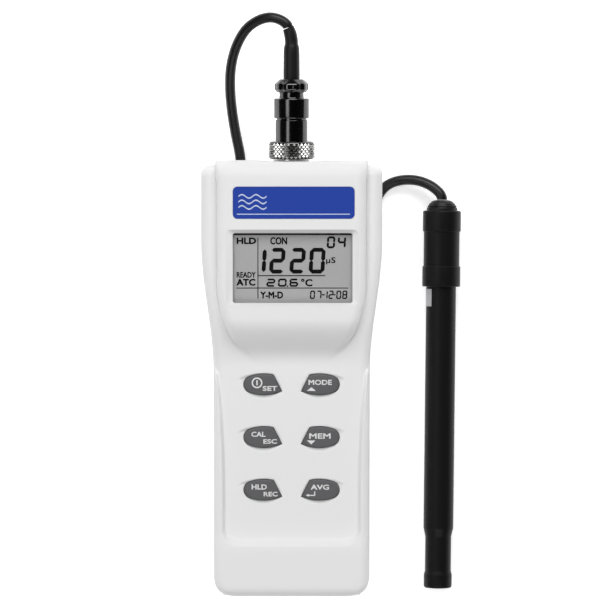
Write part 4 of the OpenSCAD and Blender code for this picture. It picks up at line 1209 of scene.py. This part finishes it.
tube = turned("shaft", [(4.6, TIP_L), (6.1, TIP_L), (6.1, FERRULE_T), (4.6, FERRULE_T),
                        (4.6, TIP_L)], PROBE)
finish_piece(tube, "probe_plastic", "meter", 30, ["probe_tube"])
for name, base, height, shoulder, node in (
        ("lower_collar", FERRULE_T, 8.4, 0.5, "probe_ferrule"),
        ("upper_collar", CAP_T, 8.6, 0.8, "probe_cap")):
    collar = turned(name, solid_section(
        [(0, base), (7.75, base), (7.75, base + height), (0, base + height)],
        [0, 0.5, shoulder, 0]), PROBE, 96)
    finish_piece(collar, "probe_plastic", "meter", 30, [node])
handle = turned("grip", [(1e-3, HANDLE_T), (7.3, HANDLE_T), (7.3, CAP_T), (1e-3, CAP_T)], PROBE)
finish_piece(handle, "probe_plastic", "meter", 30, ["probe_handle"])

relief_section = [(1e-3, RELIEF_T), (6.25, RELIEF_T), (6.25, RELIEF_T + 0.5)]
for radius, rise in ((6.25, 0.9), (6.0, 1.75), (5.35, 2.6), (4.5, 3.4)):
    relief_section += [(radius, RELIEF_T + rise), (radius - 0.15, RELIEF_T + rise + 0.35),
                       (radius - 0.55, RELIEF_T + rise + 0.45)]
relief_section += [(3.5, RELIEF_T + 4.1), (2.6, RELIEF_T + 4.3), (1e-3, RELIEF_T + 4.3)]
relief = turned("ribbed_relief", relief_section, PROBE, 64)
finish_piece(relief, "black_rubber", "meter", 40, ["strain_relief"])

tip = turned("tip", rounded(
    [(3.5, 0), (5.75, 0), (5.75, 5.4), (5.3, 7), (5.3, TIP_L - 3.5), (6.1, TIP_L),
     (4.5, TIP_L), (4.5, TIP_L + 6), (1e-3, TIP_L + 6), (1e-3, TIP_L - 4), (3.5, TIP_L - 4)],
    [0.5, 1.2, 0.8, 0.5, 0.5, 0, 0, 0, 0, 0, 0]), PROBE, 72)
finish_piece(tip, "probe_plastic", "meter", 30, ["probe_tip"])
print("tip", len(tip.data.polygons), "faces, relief", len(relief.data.polygons))

# %% [markdown]
# ## Bench and light
# The bench is one large pale sheet. It glows a little, so that it stays white under the case.

# %% Bench
floor = new_mesh("bench", [(x, y, 0) for x, y in ((-2500, -2500), (2500, -2500), (2500, 2500),
                                                  (-2500, 2500))], [(0, 1, 2, 3)])
floor.location.z = -0.00002
floor_material = make_material("bench", (0.97, 0.97, 0.97), 0.7, specular=0.1)
floor_shader = floor_material.node_tree.nodes["Principled BSDF"]
floor_shader.inputs["Emission Color"].default_value = (1, 1, 1, 1)
floor_shader.inputs["Emission Strength"].default_value = 0.5
floor.data.materials.append(floor_material)
floor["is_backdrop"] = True
print("bench", [round(v, 1) for v in floor.dimensions])

# %% [markdown]
# The strongest lamp stands beyond the connector, so slopes that face the grip end fall into a
# soft shade. Two fills light the sides but are hidden from reflections, and one small lamp on the
# left draws the bright streak along the plug's darkened nickel.

# %% Lamps
def lamp(name, place, aim, width, height, power):
    data = bpy.data.lights.new(name, "AREA")
    data.shape, data.size, data.size_y = "RECTANGLE", width, height
    data.energy = power
    made = bpy.data.objects.new(name, data)
    bpy.context.scene.collection.objects.link(made)
    made.location = place
    made.rotation_euler = (Vector(aim) - Vector(place)).to_track_quat("-Z", "Y").to_euler()
    made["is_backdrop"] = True
    return made


lamp("key", (0.05, 0.9, 0.9), (0, 0.02, 0), 1.2, 0.6, 11.9)
lamp("front", (0, -0.8, 0.9), (0, 0, 0), 1.2, 0.5, 4.8)
for fill in (lamp("fill_left", (-0.9, 0.0, 0.7), (0, 0, 0), 0.6, 1.2, 2.9),
             lamp("fill_right", (0.9, 0.0, 0.7), (0, 0, 0), 0.6, 1.2, 2.6)):
    fill.visible_glossy = False
lamp("streak", BENCH @ (Vector((-450, 200, 920)) * MM), BENCH @ (Vector((0, 200, 30)) * MM),
     0.5, 0.3, 1.1)

# %% [markdown]
# The sky is bright at the horizon and dim overhead, so curved sides catch light and flat tops do
# not wash out. The plain view transform keeps whites white.

# %% Sky
world = bpy.data.worlds.new("studio")
bpy.context.scene.world = world
world.use_nodes = True
sky = world.node_tree
direction = sky.nodes.new("ShaderNodeTexCoord")
parts = sky.nodes.new("ShaderNodeSeparateXYZ")
fade = sky.nodes.new("ShaderNodeMapRange")
for socket, value in zip(("From Min", "From Max", "To Min", "To Max"), (0.0, 0.9, 0.95, 0.14)):
    fade.inputs[socket].default_value = value
sky.links.new(direction.outputs["Generated"], parts.inputs[0])
sky.links.new(parts.outputs["Z"], fade.inputs["Value"])
sky.links.new(fade.outputs["Result"], sky.nodes["Background"].inputs["Strength"])
bpy.context.scene.view_settings.view_transform = "Standard"
print("sky nodes", len(sky.nodes))

# %% Finish
scene_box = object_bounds()


def plain(value):
    if hasattr(value, "__len__"):
        return [plain(v) for v in value]
    return float(value)


{"cad": plain(cad_box), "scene": plain(scene_box)}
print("scene box", scene_box)
